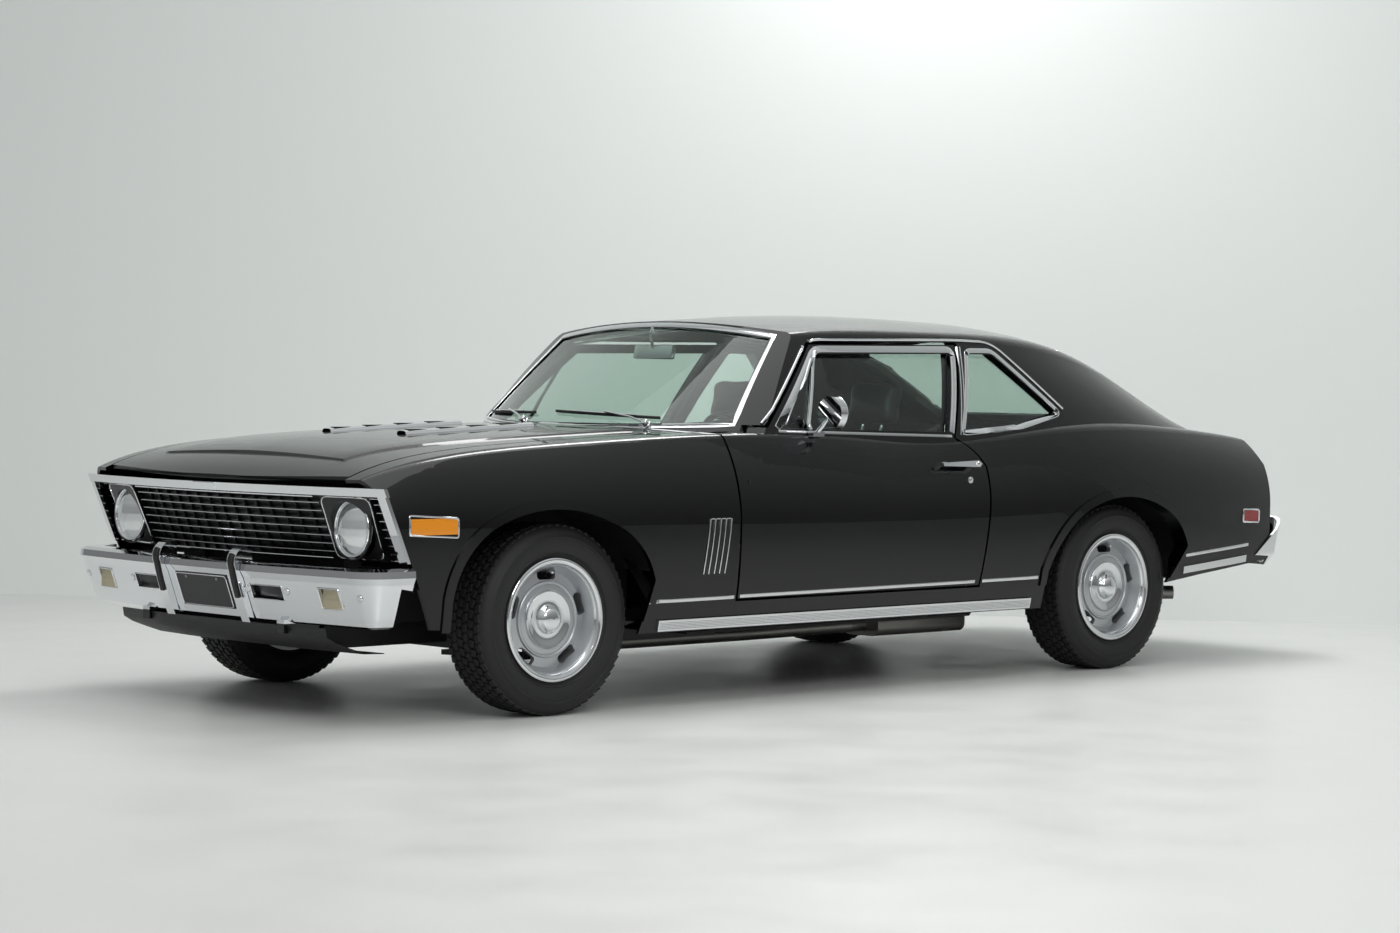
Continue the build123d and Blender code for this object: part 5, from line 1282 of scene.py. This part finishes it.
# %% Front buckets and rear bench
SEAT_X = 0.388
CUSHION = {"size": (0.455, 0.505, 0.150), "tilt": math.radians(-5)}
BACK = {"size": (0.440, 0.520, 0.110), "tilt": math.radians(68)}
seats = []
for side, hand in ((1, "left"), (-1, "right")):
    x = side * SEAT_X
    low, high = at(x, 1.545, 0.408), at(x, 1.880, 0.672)
    seats += [
        pad(f"seat_cushion_{hand}", place=low, channels=6, crown=0.022, **CUSHION),
        pad(f"seat_back_{hand}", place=high, channels=6, crown=0.020, **BACK),
        pad(f"headrest_{hand}", (0.240, 0.165, 0.090), at(x, 1.955, 1.028), math.radians(78),
            crown=0.012),
    ]
    posts = [disc(0.006, 0.12, at(x + across, 1.942, 0.94), (math.radians(-12), 0, 0))
             for across in (-0.05, 0.05)]
    seats.append(finished(posts, f"headrest_posts_{hand}", chrome, "body"))
    base = bar((0.36, 0.38, 0.100), at(x, 1.545, 0.292), edge=0.012, narrow=0.94)
    seats.append(finished([base], f"seat_base_{hand}", dash_plastic, "body"))
    seats.append(piping(f"cushion_piping_{hand}", place=low, height=0.62, **CUSHION))
    seats.append(piping(f"back_piping_{hand}", place=high, height=0.45, **BACK))
bench = [
    pad("bench_cushion", (1.075, 0.470, 0.120), at(0, 2.405, 0.502), math.radians(-2), 16, 0.86),
    pad("bench_back", (1.075, 0.400, 0.110), at(0, 2.775, 0.690), math.radians(51), 16, 0.86,
        crown=0.018),
    finished([bar((1.075, 0.190, 0.300), at(0, 2.825, 0.682), edge=0.02, narrow=0.9)],
             "bench_frame", vinyl, "body"),
]
for piece in seats:
    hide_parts("bucket_seats")
for piece in bench:
    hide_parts("rear_seat")
print(len(seats) + len(bench), "seat pieces")

# %% [markdown]
# ## Doors, dash and wheel
# Inside, each door has a vinyl panel with an armrest and a winder. The dash has three plain
# round dials, and the steering wheel a bright horn ring.

# %% Door panels
DOOR_INSIDE = tree_of(["door_left"])


def on_door_inside(y, z, lift):
    """Point of the door's inner face, seen from the middle of the car."""
    hit, normal, _, _ = DOOR_INSIDE.ray_cast(at(0, y, z), Vector((1, 0, 0)))
    return hit + Vector((-lift, 0, 0))


door_pieces = []
rows = []
for z, lift in ((0.420, 0.003), (0.432, 0.009), (0.560, 0.010), (0.700, 0.010), (0.780, 0.012),
                (0.872, 0.010), (0.884, 0.003)):
    rows.append([on_door_inside(y, z, lift) for y in spread(0.985, 1.900, 24)])
skin(rows, 0.004)
door_pieces.append(settle("door_panel_left", vinyl, "left_door"))
arm_place = on_door_inside(1.560, 0.655, 0.034)
door_pieces.append(finished([bar((0.050, 0.380, 0.046), arm_place, edge=0.014)],
                            "door_armrest_left", vinyl, "left_door", 60.0))
winder_place = on_door_inside(1.300, 0.585, 0.020)
door_pieces.append(finished([
    disc(0.020, 0.014, winder_place, (0, math.pi / 2, 0), 0.002),
    bar((0.008, 0.115, 0.014), winder_place + Vector((-0.010, 0.050, 0)), edge=0.003),
    disc(0.011, 0.026, winder_place + Vector((-0.024, 0.100, 0)), (0, math.pi / 2, 0), 0.003),
], "window_winder_left", chrome, "left_door", 50.0))
for piece in door_pieces:
    both_sides(piece)

# %% Dials and horn ring
DIAL_X, DIAL_Z = (0.270, 0.372, 0.474), 0.850
DIAL_LEAN = (math.radians(-72), 0, 0)
DASH_TREE = tree_of(["dash"])
dials, rims = [], []
for x in DIAL_X:
    hit, _, _, _ = DASH_TREE.ray_cast(at(x, 1.5, DIAL_Z), Vector((0, -1, 0)))
    dials.append(disc(0.040, 0.006, hit + Vector((0, 0.002, 0)), DIAL_LEAN, 0.001, 40))
    rims.append(hoop(0.041, 0.003, hit + Vector((0, 0.004, 0)), DIAL_LEAN, 40))
finished(dials, "dash_dials", black_trim, "body")
finished(rims, "dial_rims", chrome, "body")
WHEEL_PLACE = at(0.372, 1.258, 0.820)
FACING_DRIVER = (math.pi / 2 + math.radians(22), 0, 0)
hoop(0.098, 0.004, WHEEL_PLACE + Vector((0, 0.010, 0.004)), FACING_DRIVER)
settle("horn_ring", chrome, "hand_wheel")
horn = disc(0.030, 0.014, WHEEL_PLACE + Vector((0, 0.012, 0.005)), FACING_DRIVER, 0.004, 40, 0.85)
finished([horn], "horn_button", chrome, "hand_wheel", 60.0)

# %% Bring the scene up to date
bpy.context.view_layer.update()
